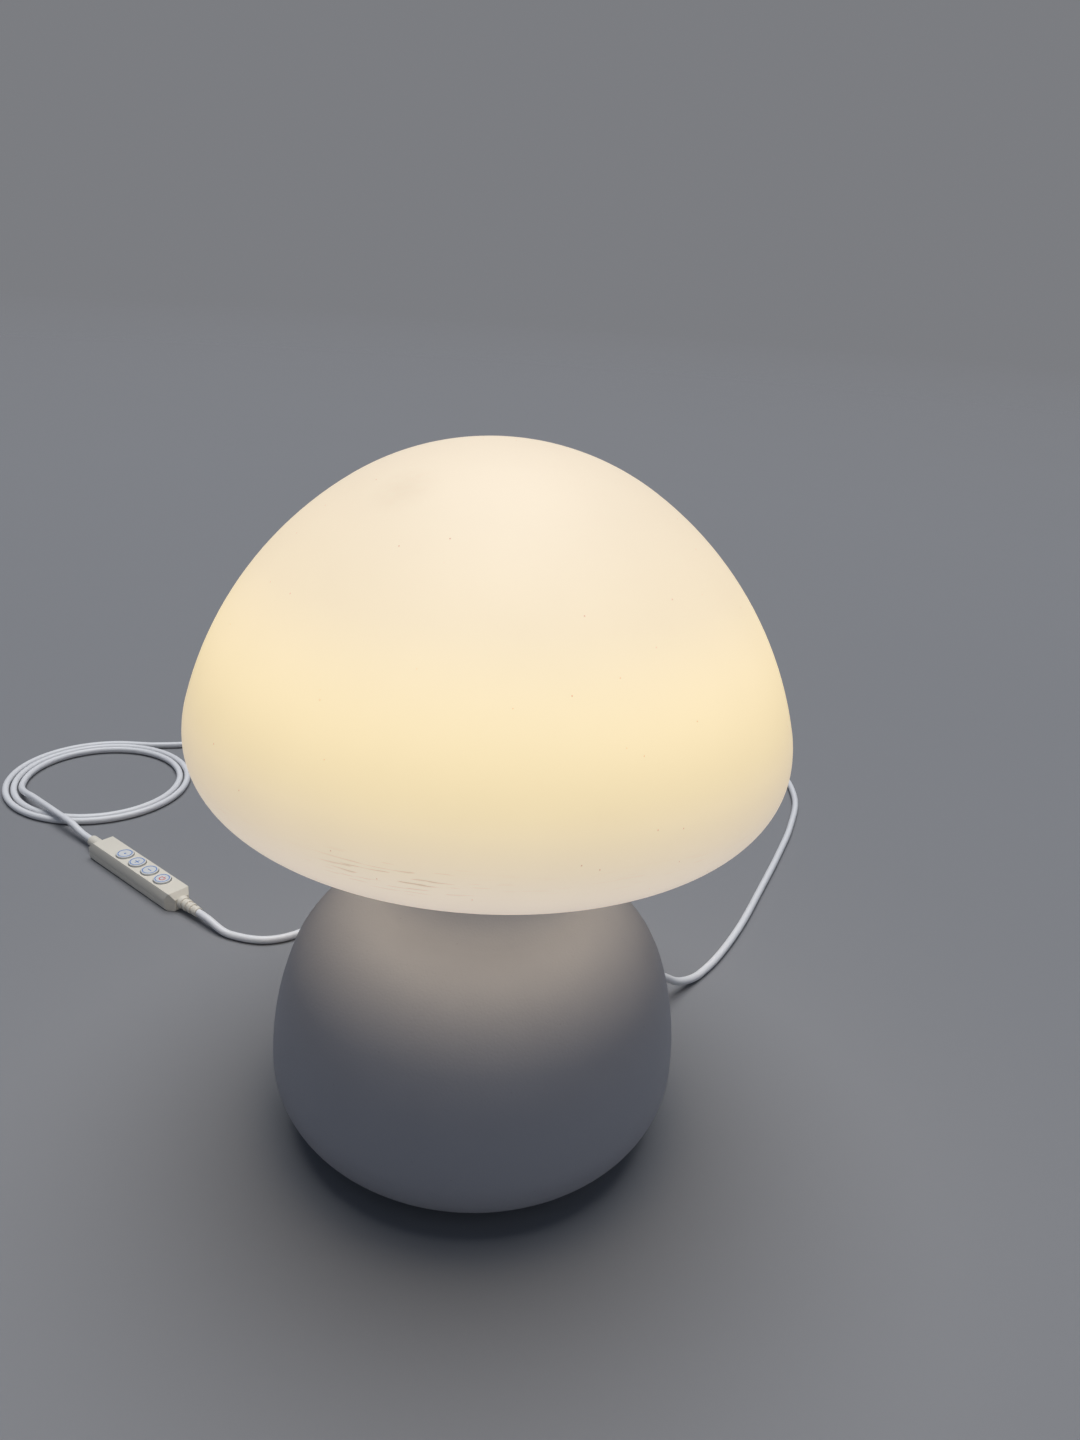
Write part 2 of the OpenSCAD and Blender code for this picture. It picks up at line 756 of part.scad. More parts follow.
// Outside of both halves: a bevelled bar that narrows to a nose at its outlet
module case_block() {
    half = case_width / 2;
    face = case_face_width / 2;
    end = case_length / 2;
    intersection() {
        translate([-end, 0, 0])
            rotate([90, 0, 90])
                linear_extrude(case_length)
                    polygon([[-half + case_foot_bevel, 0], [half - case_foot_bevel, 0],
                        [half, case_foot_bevel], [half, case_shoulder], [face, case_height],
                        [-face, case_height], [-half, case_shoulder], [-half, case_foot_bevel]]);
        translate([0, half, 0])
            rotate([90, 0, 0])
                linear_extrude(case_width)
                    polygon([[-end + case_foot_bevel, 0], [end - case_foot_bevel, 0],
                        [end, case_foot_bevel], [end, case_shoulder],
                        [end - case_end_bevel, case_height], [-end + case_end_bevel, case_height],
                        [-end, case_shoulder], [-end, case_foot_bevel]]);
        linear_extrude(case_height)
            polygon([[-end, -half], [end - case_nose, -half], [end, -case_nose_width / 2],
                [end, case_nose_width / 2], [end - case_nose, half], [-end, half]]);
    }
}

// Hollow of both halves, from one height up to another
module case_hollow(from, to) {
    translate([bore_from, -case_bore / 2, from])
        cube([bore_to - bore_from, case_bore, to - from]);
}

module relief_bores() {
    translate([-case_length, 0, case_axis_z])
        rotate([0, 90, 0])
            cylinder(r = relief_neck_r + eps, h = 2 * case_length, $fn = small);
}

function button_x(i) = (i - (button_count - 1) / 2) * button_pitch + button_shift;

module switch_top_case() {
    color(case_cream)
        in_case()
            difference() {
                intersection() {
                    case_block();
                    translate([-case_length, -case_width, case_split])
                        cube([2 * case_length, 2 * case_width, case_height]);
                }
                case_hollow(0, roof_z);
                relief_bores();
                for (i = [0 : button_count - 1])
                    translate([button_x(i), 0, 0])
                        cylinder(r = button_diameter / 2 + button_hole_gap, h = 2 * case_height,
                            $fn = small);
            }
}

module switch_bottom_case() {
    color(case_cream)
        in_case() {
            difference() {
                intersection() {
                    case_block();
                    translate([-case_length, -case_width, -case_height])
                        cube([2 * case_length, 2 * case_width, case_height + case_split]);
                }
                case_hollow(case_wall, case_height);
                relief_bores();
            }
            for (x = [-rib_x, rib_x])
                translate([x - rib_width / 2, -case_bore / 2 - eps, case_wall - eps])
                    cube([rib_width, case_bore + 2 * eps, rib_height + eps]);
        }
}

module switch_board() {
    color(board_green)
        in_case()
            translate([pcb_from, -pcb_width / 2, pcb_z])
                cube([pcb_length, pcb_width, pcb_height]);
}

module tact_switches() {
    color(part_black)
        in_case()
            for (i = [0 : button_count - 1])
                translate([button_x(i) - tact_side / 2, -tact_side / 2, pcb_top])
                    cube([tact_side, tact_side, tact_height]);
}

module driver_chip() {
    color(part_black)
        in_case()
            translate([chip_x - chip_size[0] / 2, -chip_size[1] / 2, pcb_top])
                cube(chip_size);
}

// One button: cap, retaining flange and stem, as a single turned profile
module button(i) {
    r = button_diameter / 2;
    top = case_height + button_proud;
    in_case()
        translate([button_x(i), 0, 0])
            rotate_extrude($fn = small)
                polygon([[0, flange_z - button_stem], [button_stem_r, flange_z - button_stem],
                    [button_stem_r, flange_z], [button_flange_r, flange_z],
                    [button_flange_r, flange_z + button_flange], [r, flange_z + button_flange],
                    [r, top - button_edge], [r - button_edge, top], [0, top]]);
}

module mode_button() {
    color(button_grey)
        button(0);
}

module up_button() {
    color(button_grey)
        button(1);
}

module down_button() {
    color(button_grey)
        button(2);
}

module power_button() {
    color(power_red)
        button(3);
}

// Flange and neck of a relief in an end of the case
function relief_root(end, wall) = let (inside = end - wall)
    [[0, inside - relief_flange], [relief_flange_r, inside - relief_flange],
    [relief_flange_r, inside], [relief_neck_r, inside], [relief_neck_r, end]];

module switch_inlet_relief() {
    end = case_length / 2;
    color(case_cream)
        in_case()
            translate([0, 0, case_axis_z])
                rotate([0, -90, 0])
                    rotate_extrude($fn = small)
                        polygon(concat(relief_root(end, case_end_wall), [[relief_r, end],
                            [relief_r, end + inlet_length], [0, end + inlet_length]]));
}

module switch_outlet_relief() {
    end = case_length / 2;
    slope = (outlet_root_r - outlet_tip_r) / outlet_length;
    color(case_cream)
        in_case()
            translate([0, 0, case_axis_z])
                rotate([0, 90, 0])
                    difference() {
                        rotate_extrude($fn = small)
                            polygon(concat(relief_root(end, case_nose), [[outlet_root_r, end],
                                [outlet_tip_r, end + outlet_length], [0, end + outlet_length]]));
                        for (i = [1 : outlet_ring_count])
                            translate([0, 0, end + i * outlet_ring_step - outlet_ring_width / 2])
                                difference() {
                                    cylinder(r = 2 * outlet_root_r, h = outlet_ring_width,
                                        $fn = small);
                                    translate([0, 0, -through])
                                        cylinder(r = outlet_root_r - slope * i * outlet_ring_step
                                            - outlet_ring_depth,
                                            h = outlet_ring_width + 2 * through, $fn = small);
                                }
                    }
}

// Plug, drawn along X from the cord

module at_plug() {
    translate(plug_at)
        rotate(plug_turn)
            children();
}

module plug_body() {
    half = grip_width / 2;
    side = grip_height / 2;
    color(cord_white)
        at_plug() {
            translate([plug_relief_length, 0, 0])
                rotate([90, 0, 90])
                    linear_extrude(grip_length)
                        polygon([[-half + grip_bevel, -side], [half - grip_bevel, -side],
                            [half, -side + grip_bevel], [half, side - grip_bevel],
                            [half - grip_bevel, side], [-half + grip_bevel, side],
                            [-half, side - grip_bevel], [-half, -side + grip_bevel]]);
            rotate([0, 90, 0])
                cylinder(r1 = plug_tip_r, r2 = plug_root_r, h = plug_relief_length + eps, $fn = small);
        }
}

module plug_shell() {
    start = plug_relief_length + grip_length;
    inner_width = shell_width - 2 * shell_wall;
    inner_height = shell_height - 2 * shell_wall;
    color(screw_steel)
        at_plug()
            difference() {
                translate([start, -shell_width / 2, -shell_height / 2])
                    cube([shell_length, shell_width, shell_height]);
                translate([start + shell_wall, -inner_width / 2, -inner_height / 2])
                    cube([shell_length, inner_width, inner_height]);
                for (side = [-1, 1])
                    translate([start + window_at, side * window_pitch / 2 - window_width / 2,
                        -shell_height])
                        cube([window_length, window_width, 2 * shell_height]);
            }
}

module plug_tongue() {
    start = plug_relief_length + grip_length + shell_wall;
    width = shell_width - 2 * shell_wall;
    color(mask_white)
        at_plug()
            translate([start, -width / 2, -shell_height / 2 + shell_wall])
                cube([tongue_length, width, tongue_height]);
}

module plug_contacts() {
    start = plug_relief_length + grip_length + shell_wall + tongue_length - contact_length
        - contact_inset;
    color(contact_gold)
        at_plug()
            for (i = [0 : contact_count - 1])
                translate([start, (i - (contact_count - 1) / 2) * contact_pitch - contact_width / 2,
                    -shell_height / 2 + shell_wall + tongue_height])
                    cube([contact_length, contact_width, contact_height]);
}

shade();
shade_ring();
base_shell();
bottom_cover();
ballast_plate();
cover_screws();
foot_pads();
cord_gland();
pull_stop();
inner_lead();
light_head();
seat_gasket();
heat_spreader();
led_board();
led_chips();
board_screws();
board_connector();
lamp_lead();
lead_loops();
plug_lead();
switch_top_case();
switch_bottom_case();
switch_board();
tact_switches();
driver_chip();
mode_button();
up_button();
down_button();
power_button();
switch_inlet_relief();
switch_outlet_relief();
plug_body();
plug_shell();
plug_tongue();
plug_contacts();
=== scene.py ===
"""Mushroom table lamp: fine forms and finishes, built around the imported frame."""

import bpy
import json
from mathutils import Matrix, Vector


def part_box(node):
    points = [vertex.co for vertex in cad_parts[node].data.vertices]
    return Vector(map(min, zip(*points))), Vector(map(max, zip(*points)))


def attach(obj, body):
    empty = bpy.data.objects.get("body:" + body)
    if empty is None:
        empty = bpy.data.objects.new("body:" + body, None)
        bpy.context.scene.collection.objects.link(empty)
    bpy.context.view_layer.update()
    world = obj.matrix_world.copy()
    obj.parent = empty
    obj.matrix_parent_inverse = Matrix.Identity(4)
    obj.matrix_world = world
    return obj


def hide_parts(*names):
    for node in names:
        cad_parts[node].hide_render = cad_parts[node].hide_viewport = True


bl_info = {
    "name": "Mushroom table lamp",
    "version": (1, 0, 0),
    "blender": (4, 5, 0),
    "location": "3D View > Sidebar > Lamp",
    "description": "Dresses the packed frame of a mushroom table lamp",
    "category": "Object",
}

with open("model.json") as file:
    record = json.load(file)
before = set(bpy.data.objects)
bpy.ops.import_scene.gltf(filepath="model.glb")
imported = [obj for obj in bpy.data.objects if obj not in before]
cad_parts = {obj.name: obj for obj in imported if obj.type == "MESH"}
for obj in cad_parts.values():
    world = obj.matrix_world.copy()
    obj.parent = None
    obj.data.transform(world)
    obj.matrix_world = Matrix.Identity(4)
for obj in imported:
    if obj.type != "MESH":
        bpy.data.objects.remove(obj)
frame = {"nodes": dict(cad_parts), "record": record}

import json
import math

import bmesh
import bpy
from bpy.props import FloatProperty, FloatVectorProperty, IntProperty, PointerProperty
from mathutils import Matrix, Vector

MM = 0.001
ORIGIN = Vector((0.0, 0.0, 0.0))
AXIS = Vector((0.0, 0.0, 1.0))
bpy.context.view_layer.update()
NODES = frame["nodes"]
RECORD = frame["record"]
BODY_OF = {node: body for body, group in RECORD["behaviour"]["bodies"].items() for node in group}
SLOT_OF = {part["node"]: part["material_slot"] for part in RECORD["subparts"]}

# Meshes: what counts as one point, flat, sharp, facing up or long, and the steps of small round forms
MERGE = 0.002 * MM
ON_AXIS = 0.02 * MM
FLAT = math.radians(0.4)
SHARP = math.radians(28.0)
CORNER = math.radians(40.0)
FACES_UP = 0.9
LONG_EDGE = 3.0
FLOOR_STEPS = 96
WIRE_SIDES = 14
WIRE_STEPS = 16
SCREW_STEPS = 24
SCREW_EDGE_STEPS = 5
DISH_STEPS = 8
RIM_STEPS = 5
RING_STEPS = 48
DOT_STEPS = 24
POWER_STEPS = 28

# Finishes: the cap's marks, its glow by height in millimetres, the phosphor, and the board with its tracks
SCUFFS_AT = (-22.0 * MM, -92.0 * MM, 148.5 * MM)
SMUDGE_AT = (-27.0 * MM, -29.0 * MM, 231.0 * MM)
SCUFF_FROM = 0.64
SCUFF_FULL = 0.70
MARK_STRENGTH = 0.5
MARK_COLOUR = (0.22, 0.16, 0.09)
MARK_GLOW = (0.30, 0.22, 0.12)
SATIN = 0.6
SATIN_TINT = (0.95, 0.92, 0.90)
DUST_SHADE = 0.86
CELL_SHARE = 0.6
LIP_GLOW = (0.655, 0.585, 0.53)
WALL_GLOW = [(142, (0.695, 0.63, 0.53)), (152, (0.675, 0.59, 0.45)), (168, (0.775, 0.64, 0.34)),
             (186, (0.925, 0.775, 0.44)), (206, (0.745, 0.635, 0.425))]
CROWN_GLOW = (0.61, 0.53, 0.39)
RING_EDGE_GLOW = (0.84, 0.735, 0.58)
RING_GLOW = (1.0, 0.865, 0.66)
PHOSPHOR_TINT = (0.72, 0.52, 0.12)
PHOSPHOR_GLOW = (0.95, 0.74, 0.36)
BOARD_TINT = (0.74, 0.74, 0.71)
BOARD_ROUGHNESS = 0.35
TRACK_TINT = (0.60, 0.575, 0.50)
TRACK_RADII = (12.2 * MM, 19.6 * MM)
TRACK_FULL = 0.55 * MM
TRACK_EDGE = 0.7 * MM
TRACK_RISE = 2.0


def corners(node):
    """Lowest and highest corner of a node's box"""
    low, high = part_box(node)
    return Vector(low), Vector(high)


def heights(node):
    """Heights of a node's lowest and highest point"""
    low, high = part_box(node)
    return low[2], high[2]


# Settings


def length(name, description, default):
    """Setting in metres"""
    return FloatProperty(name=name, description=description, default=default, unit="LENGTH", precision=5)


def angle(name, description, degrees):
    """Setting for an angle, given in degrees"""
    return FloatProperty(name=name, description=description, default=math.radians(degrees),
                         subtype="ANGLE")


def number(name, description, default):
    """Setting without a unit"""
    return FloatProperty(name=name, description=description, default=default)


def count(name, description, default):
    """Setting for a whole number"""
    return IntProperty(name=name, description=description, default=default)


def colour(name, description, default):
    """Setting for a colour"""
    return FloatVectorProperty(name=name, description=description, default=default, size=3,
                               subtype="COLOR", min=0.0, max=1.0)


def direction(name, description, default):
    """Setting for a direction"""
    return FloatVectorProperty(name=name, description=description, default=default, size=3,
                               subtype="XYZ")


class CapSettings(bpy.types.PropertyGroup):
    """Arcs and wall of the opal cap"""

    crown_radius: length("Crown radius", "Radius of the dome at its crown", 84.2 * MM)
    rim_radius: length("Rim radius", "Radius of the wall just above the widest ring", 36.0 * MM)
    lip_radius: length("Lip radius", "Radius of the lip that rolls in under the widest ring", 21.0 * MM)
    crown_slope: angle("Crown slope", "Slope where the crown meets the flank", 33.4)
    flank_slope: angle("Flank slope", "Slope where the flank meets the widest ring", 74.7)
    rise: angle("Underside rise", "Rise of the underside towards the opening", 10.0)
    wall: length("Wall", "Thickness of the cap", 2.4 * MM)
    lap: length("Lap", "Width of the rebate that holds the underside ring", 5.0 * MM)
    land_radius: length("Land radius", "Outer radius of the flat land round the opening", 48.0 * MM)
    opening_radius: length("Opening radius", "Radius of the opening underneath", 33.0 * MM)
    upstand_height: length("Upstand height", "Height of the ring that stands round the opening", 8.0 * MM)
    upstand_wall: length("Upstand wall", "Thickness of that ring", 2.0 * MM)
    edge: length("Edge", "Rounding of the ring's edges", 0.5 * MM)
    steps: count("Steps round", "Steps of the cap round its axis", 160)
    arc_steps: count("Steps of an arc", "Steps of each arc of the wall", 22)


class CordSettings(bpy.types.PropertyGroup):
    """The cord and the loops that it lies in"""

    diameter: length("Diameter", "Diameter of the cord", 3.5 * MM)
    lift: length("Lift", "Gap between the cord and the table", 0.05 * MM)
    loop_radius: length("Loop radius", "Radius of the outer loop", 50.0 * MM)
    loop_gap: length("Loop gap", "Gap from one loop to the next", 0.7 * MM)
    loop_rise: length("Loop rise", "How far the inner end rises to cross the outer turns", 4.6 * MM)
    loop_turns: count("Loops", "Full turns of the loops", 2)
    lamp_length: length("Lamp cord", "Length from the base into the switch box", 1.469)
    plug_length: length("Plug cord", "Length from inside the switch box to the plug", 0.368)
    sides: count("Sides", "Steps round a quarter of the cord", 4)


class ButtonSettings(bpy.types.PropertyGroup):
    """The four buttons of the switch box and their printed marks"""

    radius: length("Radius", "Radius of a button", 4.1 * MM)
    flange: length("Flange", "Height of the flange that keeps a button in", 1.0 * MM)
    stem: length("Stem", "Height of the stem under the flange", 0.9 * MM)
    stem_radius: length("Stem radius", "Radius of the stem", 1.6 * MM)
    dish: length("Dish", "Depth of the hollow in a button's top", 0.22 * MM)
    edge: length("Edge", "Rounding of a button's rim", 0.4 * MM)
    ring_radius: length("Ring radius", "Radius of the printed ring", 3.25 * MM)
    line: length("Line", "Width of a printed line", 0.45 * MM)
    print_height: length("Print height", "How far a print stands out of its button", 0.03 * MM)
    print_depth: length("Print depth", "How far a print reaches into its button", 0.06 * MM)
    print_edge: length("Print edge", "Rounding of a printed stroke", 0.02 * MM)
    dot_radius: length("Dot radius", "Radius of the dot of the mode button", 0.495 * MM)
    sign_length: length("Sign length", "Length of the strokes of plus and minus", 2.6 * MM)
    power_radius: length("Power radius", "Radius of the open ring of the power sign", 1.365 * MM)
    power_gap: angle("Power gap", "Half of the gap in that ring", 38.0)
    power_lift: length("Power lift", "How far the sign's stroke sits off the middle", 1.02375 * MM)
    blue: colour("Blue print", "Colour of the marks", (0.10, 0.22, 0.52))
    red: colour("Red print", "Colour of the mark of the power button", (0.62, 0.06, 0.05))
    steps: count("Steps round", "Steps of a button round its axis", 48)


class ChipSettings(bpy.types.PropertyGroup):
    """Light chips and screws on the board of the light head"""

    count: count("Chips", "Number of light chips", 8)
    ring: length("Ring", "Radius of the ring of chips", 16.0 * MM)
    side: length("Side", "Side of a chip", 5.0 * MM)
    frame: length("Frame", "Width of a chip's white frame", 0.6 * MM)
    pocket: length("Pocket", "Depth of the pocket in the frame", 0.35 * MM)
    corner: length("Corner", "Rounding of a chip's corners", 0.35 * MM)
    fill: length("Fill", "Depth of the phosphor below the frame", 0.08 * MM)
    fill_edge: length("Fill edge", "Rounding of the phosphor's edges", 0.1 * MM)
    housing: length("Housing", "Wall of the connector's housing", 0.7 * MM)
    housing_corner: length("Housing corner", "Rounding of the housing's corners", 0.4 * MM)
    socket: length("Socket", "Depth of the hollow in the connector's housing", 1.2 * MM)
    wire_radius: length("Wire radius", "Radius of a wire from the lead to the connector", 0.55 * MM)
    wire_gap: length("Wire gap", "Distance between the two wires", 1.5 * MM)
    wire_bend: length("Wire bend", "Radius of a wire's bend", 2.2 * MM)
    screw_count: count("Screws", "Number of screws", 3)
    screw_ring: length("Screw ring", "Radius of the ring of screws", 22.0 * MM)
    head_radius: length("Head radius", "Radius of a screw's head", 2.4 * MM)
    head_edge: length("Head edge", "Rounding of a screw's head", 0.5 * MM)
    shank_radius: length("Shank radius", "Radius of a screw's shank", 1.25 * MM)
    recess_width: length("Recess width", "Width of the cross in a screw's head", 0.6 * MM)
    recess_length: length("Recess length", "Length of the cross in a screw's head", 2.8 * MM)
    recess_depth: length("Recess depth", "Depth of the cross in a screw's head", 0.9 * MM)


class EdgeSettings(bpy.types.PropertyGroup):
    """Rounding of the edges that the frame leaves sharp"""

    gland: length("Gland", "Rounding of the cord gland", 0.35 * MM)
    head: length("Head", "Rounding of the light head", 0.4 * MM)
    gasket: length("Gasket", "Rounding of the gasket under the cap", 0.35 * MM)
    case_top: length("Case top", "Rounding of the upper half of the switch box", 1.0 * MM)
    case_bottom: length("Case bottom", "Rounding of the lower half of the switch box", 0.5 * MM)
    relief: length("Relief", "Rounding of the strain reliefs", 0.3 * MM)
    grip: length("Grip", "Rounding of the plug's grip", 1.5 * MM)
    shell: length("Shell", "Rounding of the plug's metal shell", 0.13 * MM)


class FinishSettings(bpy.types.PropertyGroup):
    """Main colours of the lamp, and how strongly it glows"""

    base: colour("Base", "Colour of the sprayed base", (0.35, 0.355, 0.39))
    milk: colour("Milk", "Colour of the opal plastic without its light", (0.47, 0.44, 0.40))
    cord: colour("Cord", "Colour of the cord, the gland and the plug's grip", (0.72, 0.725, 0.745))
    case: colour("Case", "Colour of the switch box", (0.70, 0.66, 0.575))
    button: colour("Button", "Colour of the buttons", (0.62, 0.63, 0.63))
    cap_glow: number("Cap glow", "Strength of the light through the cap", 1.0)
    ring_glow: number("Ring glow", "Strength of the light through the underside ring", 3.15)


class StageSettings(bpy.types.PropertyGroup):
    """Camera, floor and lights"""

    eye: FloatVectorProperty(name="Eye", description="Where the camera stands", size=3, subtype="XYZ",
                             unit="LENGTH", default=(0.0, -0.3255, 0.2914))
    pitch: angle("Pitch", "How far the camera looks down", 22.9)
    yaw: angle("Yaw", "How far the camera turns to the right", 2.71)
    roll: angle("Roll", "How far the camera leans", 4.29)
    lens: number("Lens", "Focal length in millimetres, on a 36 mm frame", 27.5)
    floor_radius: length("Floor radius", "Radius of the round floor", 5.0)
    floor_fade: length("Floor fade", "Radius at which the floor starts to fade", 1.25)
    floor_colour: colour("Floor", "Colour of the floor", (0.21, 0.215, 0.23))
    backdrop: colour("Backdrop", "Colour behind the floor", (0.20, 0.205, 0.22))
    ambient: colour("Ambient", "Light from all round", (0.08, 0.103, 0.145))
    key: number("Key", "Strength of the soft light from overhead", 2.4)
    key_spread: angle("Key spread", "How wide the light from overhead is", 48.0)
    key_from: direction("Key from", "Where the light from overhead stands", (0.02, 0.16, 1.0))
    fill: number("Fill", "Strength of the soft light from the front right", 0.12)
    fill_spread: angle("Fill spread", "How wide the light from the front right is", 60.0)
    fill_from: direction("Fill from", "Where the light from the front right stands", (0.5, -1.0, 0.7))


# Shader nodes


def add(tree, kind, inputs=None, **settings):
    """New shader node. Each input is a value, or the socket that feeds it."""
    node = tree.nodes.new("ShaderNode" + kind)
    for key, value in settings.items():
        setattr(node, key, value)
    for key, value in (inputs or {}).items():
        if isinstance(value, bpy.types.NodeSocket):
            tree.links.new(value, node.inputs[key])
        else:
            node.inputs[key].default_value = value
    return node


def math_node(tree, operation, *values):
    """Result of a sum on values or sockets"""
    return add(tree, "Math", dict(enumerate(values)), operation=operation).outputs[0]


def spread(tree, value, low, high, to_low, to_high):
    """Value carried from one range to another, and held within it"""
    return add(tree, "MapRange", {"Value": value, "From Min": low, "From Max": high, "To Min": to_low,
                                  "To Max": to_high}).outputs[0]


def blend(tree, factor, first, second, blend_type="MIX"):
    """Colour between two colours"""
    node = add(tree, "Mix", {0: factor, 6: first, 7: second}, data_type="RGBA", blend_type=blend_type)
    return node.outputs[2]


def rgb(values):
    """Colour with full alpha"""
    return (*values, 1.0)


def effect(name, inputs, output, build):
    """Shared node group, made the first time that it is asked for"""
    tree = bpy.data.node_groups.get(name)
    if tree is None:
        tree = bpy.data.node_groups.new(name, "ShaderNodeTree")
        for label, kind in inputs:
            tree.interface.new_socket(label, in_out="INPUT", socket_type="NodeSocket" + kind)
        tree.interface.new_socket(output, in_out="OUTPUT", socket_type="NodeSocketFloat")
        start = tree.nodes.new("NodeGroupInput").outputs
        end = tree.nodes.new("NodeGroupOutput").inputs
        tree.links.new(build(tree, start), end[output])
    return tree


def mottle_effect():
    """Slow light and dark patches, as a factor about 1"""

    def build(tree, start):
        noise = add(tree, "TexNoise", {"Vector": start["Vector"], "Scale": start["Scale"], "Detail": 4.0,
                                       "Roughness": 0.6}).outputs["Fac"]
        off = math_node(tree, "MULTIPLY", math_node(tree, "SUBTRACT", noise, 0.5), start["Depth"])
        return math_node(tree, "ADD", off, 1.0)

    return effect("Mottle", [("Vector", "Vector"), ("Scale", "Float"), ("Depth", "Float")], "Factor", build)


def grain_effect():
    """Fine bumps of a moulded or sprayed surface"""

    def build(tree, start):
        fine = add(tree, "TexNoise", {"Vector": start["Vector"], "Scale": start["Scale"], "Detail": 2.0})
        cells = add(tree, "TexVoronoi", {"Vector": start["Vector"], "Scale": start["Scale"]},
                    feature="SMOOTH_F1")
        return math_node(tree, "ADD", fine.outputs["Fac"],
                         math_node(tree, "MULTIPLY", cells.outputs["Distance"], CELL_SHARE))

    return effect("Grain", [("Vector", "Vector"), ("Scale", "Float")], "Height", build)


def specks_effect():
    """Sparse small spots, as a mask"""

    def build(tree, start):
        cells = add(tree, "TexVoronoi", {"Vector": start["Vector"], "Scale": start["Scale"]})
        chosen = math_node(tree, "LESS_THAN",
                           add(tree, "SeparateXYZ", {0: cells.outputs["Color"]}).outputs[0], start["Share"])
        near = math_node(tree, "LESS_THAN", cells.outputs["Distance"], start["Size"])
        return math_node(tree, "MULTIPLY", chosen, near)

    return effect("Specks", [("Vector", "Vector"), ("Scale", "Float"), ("Size", "Float"),
                             ("Share", "Float")], "Mask", build)


def scuffs_effect():
    """Thin broken lines round the lamp's axis, as a mask. They are kept within a distance of a height."""

    def build(tree, start):
        x, y, z = add(tree, "SeparateXYZ", {0: start["Vector"]}).outputs
        round_axis = math_node(tree, "ARCTAN2", x, math_node(tree, "MULTIPLY", y, -1.0))
        unrolled = add(tree, "CombineXYZ", {0: math_node(tree, "MULTIPLY", round_axis, start["Breaks"]),
                                            1: math_node(tree, "MULTIPLY", z, start["Lines"])}).outputs[0]
        lines = add(tree, "TexNoise", {"Vector": unrolled, "Scale": 1.0, "Detail": 1.0},
                    noise_dimensions="2D").outputs["Fac"]
        off = math_node(tree, "ABSOLUTE", math_node(tree, "SUBTRACT", z, start["Height"]))
        near = math_node(tree, "SUBTRACT", 1.0, math_node(tree, "DIVIDE", off, start["Reach"]))
        thin = spread(tree, lines, SCUFF_FROM, SCUFF_FULL, 0.0, 1.0)
        return math_node(tree, "MULTIPLY", thin, math_node(tree, "MAXIMUM", near, 0.0))

    return effect("Scuffs", [("Vector", "Vector"), ("Height", "Float"), ("Reach", "Float"),
                             ("Lines", "Float"), ("Breaks", "Float")], "Mask", build)


class Finish:
    """Material with one Principled shader, and short calls for what feeds it"""

    def __init__(self, name, roughness, metallic=0.0, glow=0.0):
        self.material = bpy.data.materials.new(name)
        self.material.use_nodes = True
        self.tree = self.material.node_tree
        self.shader = self.tree.nodes["Principled BSDF"].inputs
        self.at = self.tree.nodes.new("ShaderNodeTexCoord").outputs["Object"]
        self.shader["Roughness"].default_value = roughness
        self.shader["Metallic"].default_value = metallic
        self.shader["Emission Strength"].default_value = glow

    def group(self, tree, **inputs):
        """Shared effect with its own values, read at Object coordinates unless it gets others"""
        node = self.tree.nodes.new("ShaderNodeGroup")
        node.node_tree = tree
        for key, value in {"vector": self.at, **inputs}.items():
            socket = node.inputs[key.title()]
            if isinstance(value, bpy.types.NodeSocket):
                self.tree.links.new(value, socket)
            else:
                socket.default_value = value
        return node.outputs[0]

    def feed(self, name, socket):
        """Link a socket to an input of the shader."""
        self.tree.links.new(socket, self.shader[name])

    def stretched(self, x, y, z):
        """Object coordinates stretched along the axes"""
        return add(self.tree, "Mapping", {"Vector": self.at, "Scale": (x, y, z)}).outputs[0]

    def near(self, at, inner, outer, most, least):
        """Value that falls with the distance from a point"""
        away = add(self.tree, "VectorMath", {0: self.at, 1: at}, operation="DISTANCE").outputs["Value"]
        return spread(self.tree, away, inner, outer, most, least)

    def tinted(self, tint, scale, depth):
        """Colour with slow patches"""
        factor = self.group(mottle_effect(), scale=scale, depth=depth)
        return blend(self.tree, 1.0, rgb(tint), factor, "MULTIPLY")

    def rough(self, value, scale, depth):
        """Roughness with slow patches"""
        factor = self.group(mottle_effect(), scale=scale, depth=depth)
        self.feed("Roughness", math_node(self.tree, "MULTIPLY", factor, value))

    def bumped(self, height, distance):
        """Bumps on the surface, from a height"""
        bump = add(self.tree, "Bump", {"Height": height, "Distance": distance, "Strength": 1.0})
        self.feed("Normal", bump.outputs[0])


def moulded(name, tint, roughness=0.5, patch=60.0, depth=0.10, grain=1500.0, bump=0.03 * MM):
    """Moulded plastic or rubber: slow patches, fine grain, sparse dust"""
    finish = Finish(name, roughness)
    dust = finish.group(specks_effect(), scale=420.0, size=0.10, share=0.08)
    dusty = tuple(DUST_SHADE * part for part in tint)
    finish.feed("Base Color", blend(finish.tree, dust, finish.tinted(tint, patch, depth), rgb(dusty)))
    finish.rough(roughness, scale=3.0 * patch, depth=0.35)
    finish.bumped(finish.group(grain_effect(), scale=grain), bump)
    return finish.material


def metal(name, tint, roughness=0.3, along=(40.0, 1600.0, 1600.0), bump=0.012 * MM):
    """Drawn or rolled metal: fine lines along it, patches of haze"""
    finish = Finish(name, roughness, metallic=1.0)
    lines = finish.group(grain_effect(), vector=finish.stretched(*along), scale=1.0)
    finish.feed("Base Color", finish.tinted(tint, scale=120.0, depth=0.16))
    finish.rough(roughness, scale=180.0, depth=0.8)
    finish.bumped(lines, bump)
    return finish.material


def main_colours():
    """Settings for the main colours and the glow"""
    return bpy.context.scene.lamp_finish


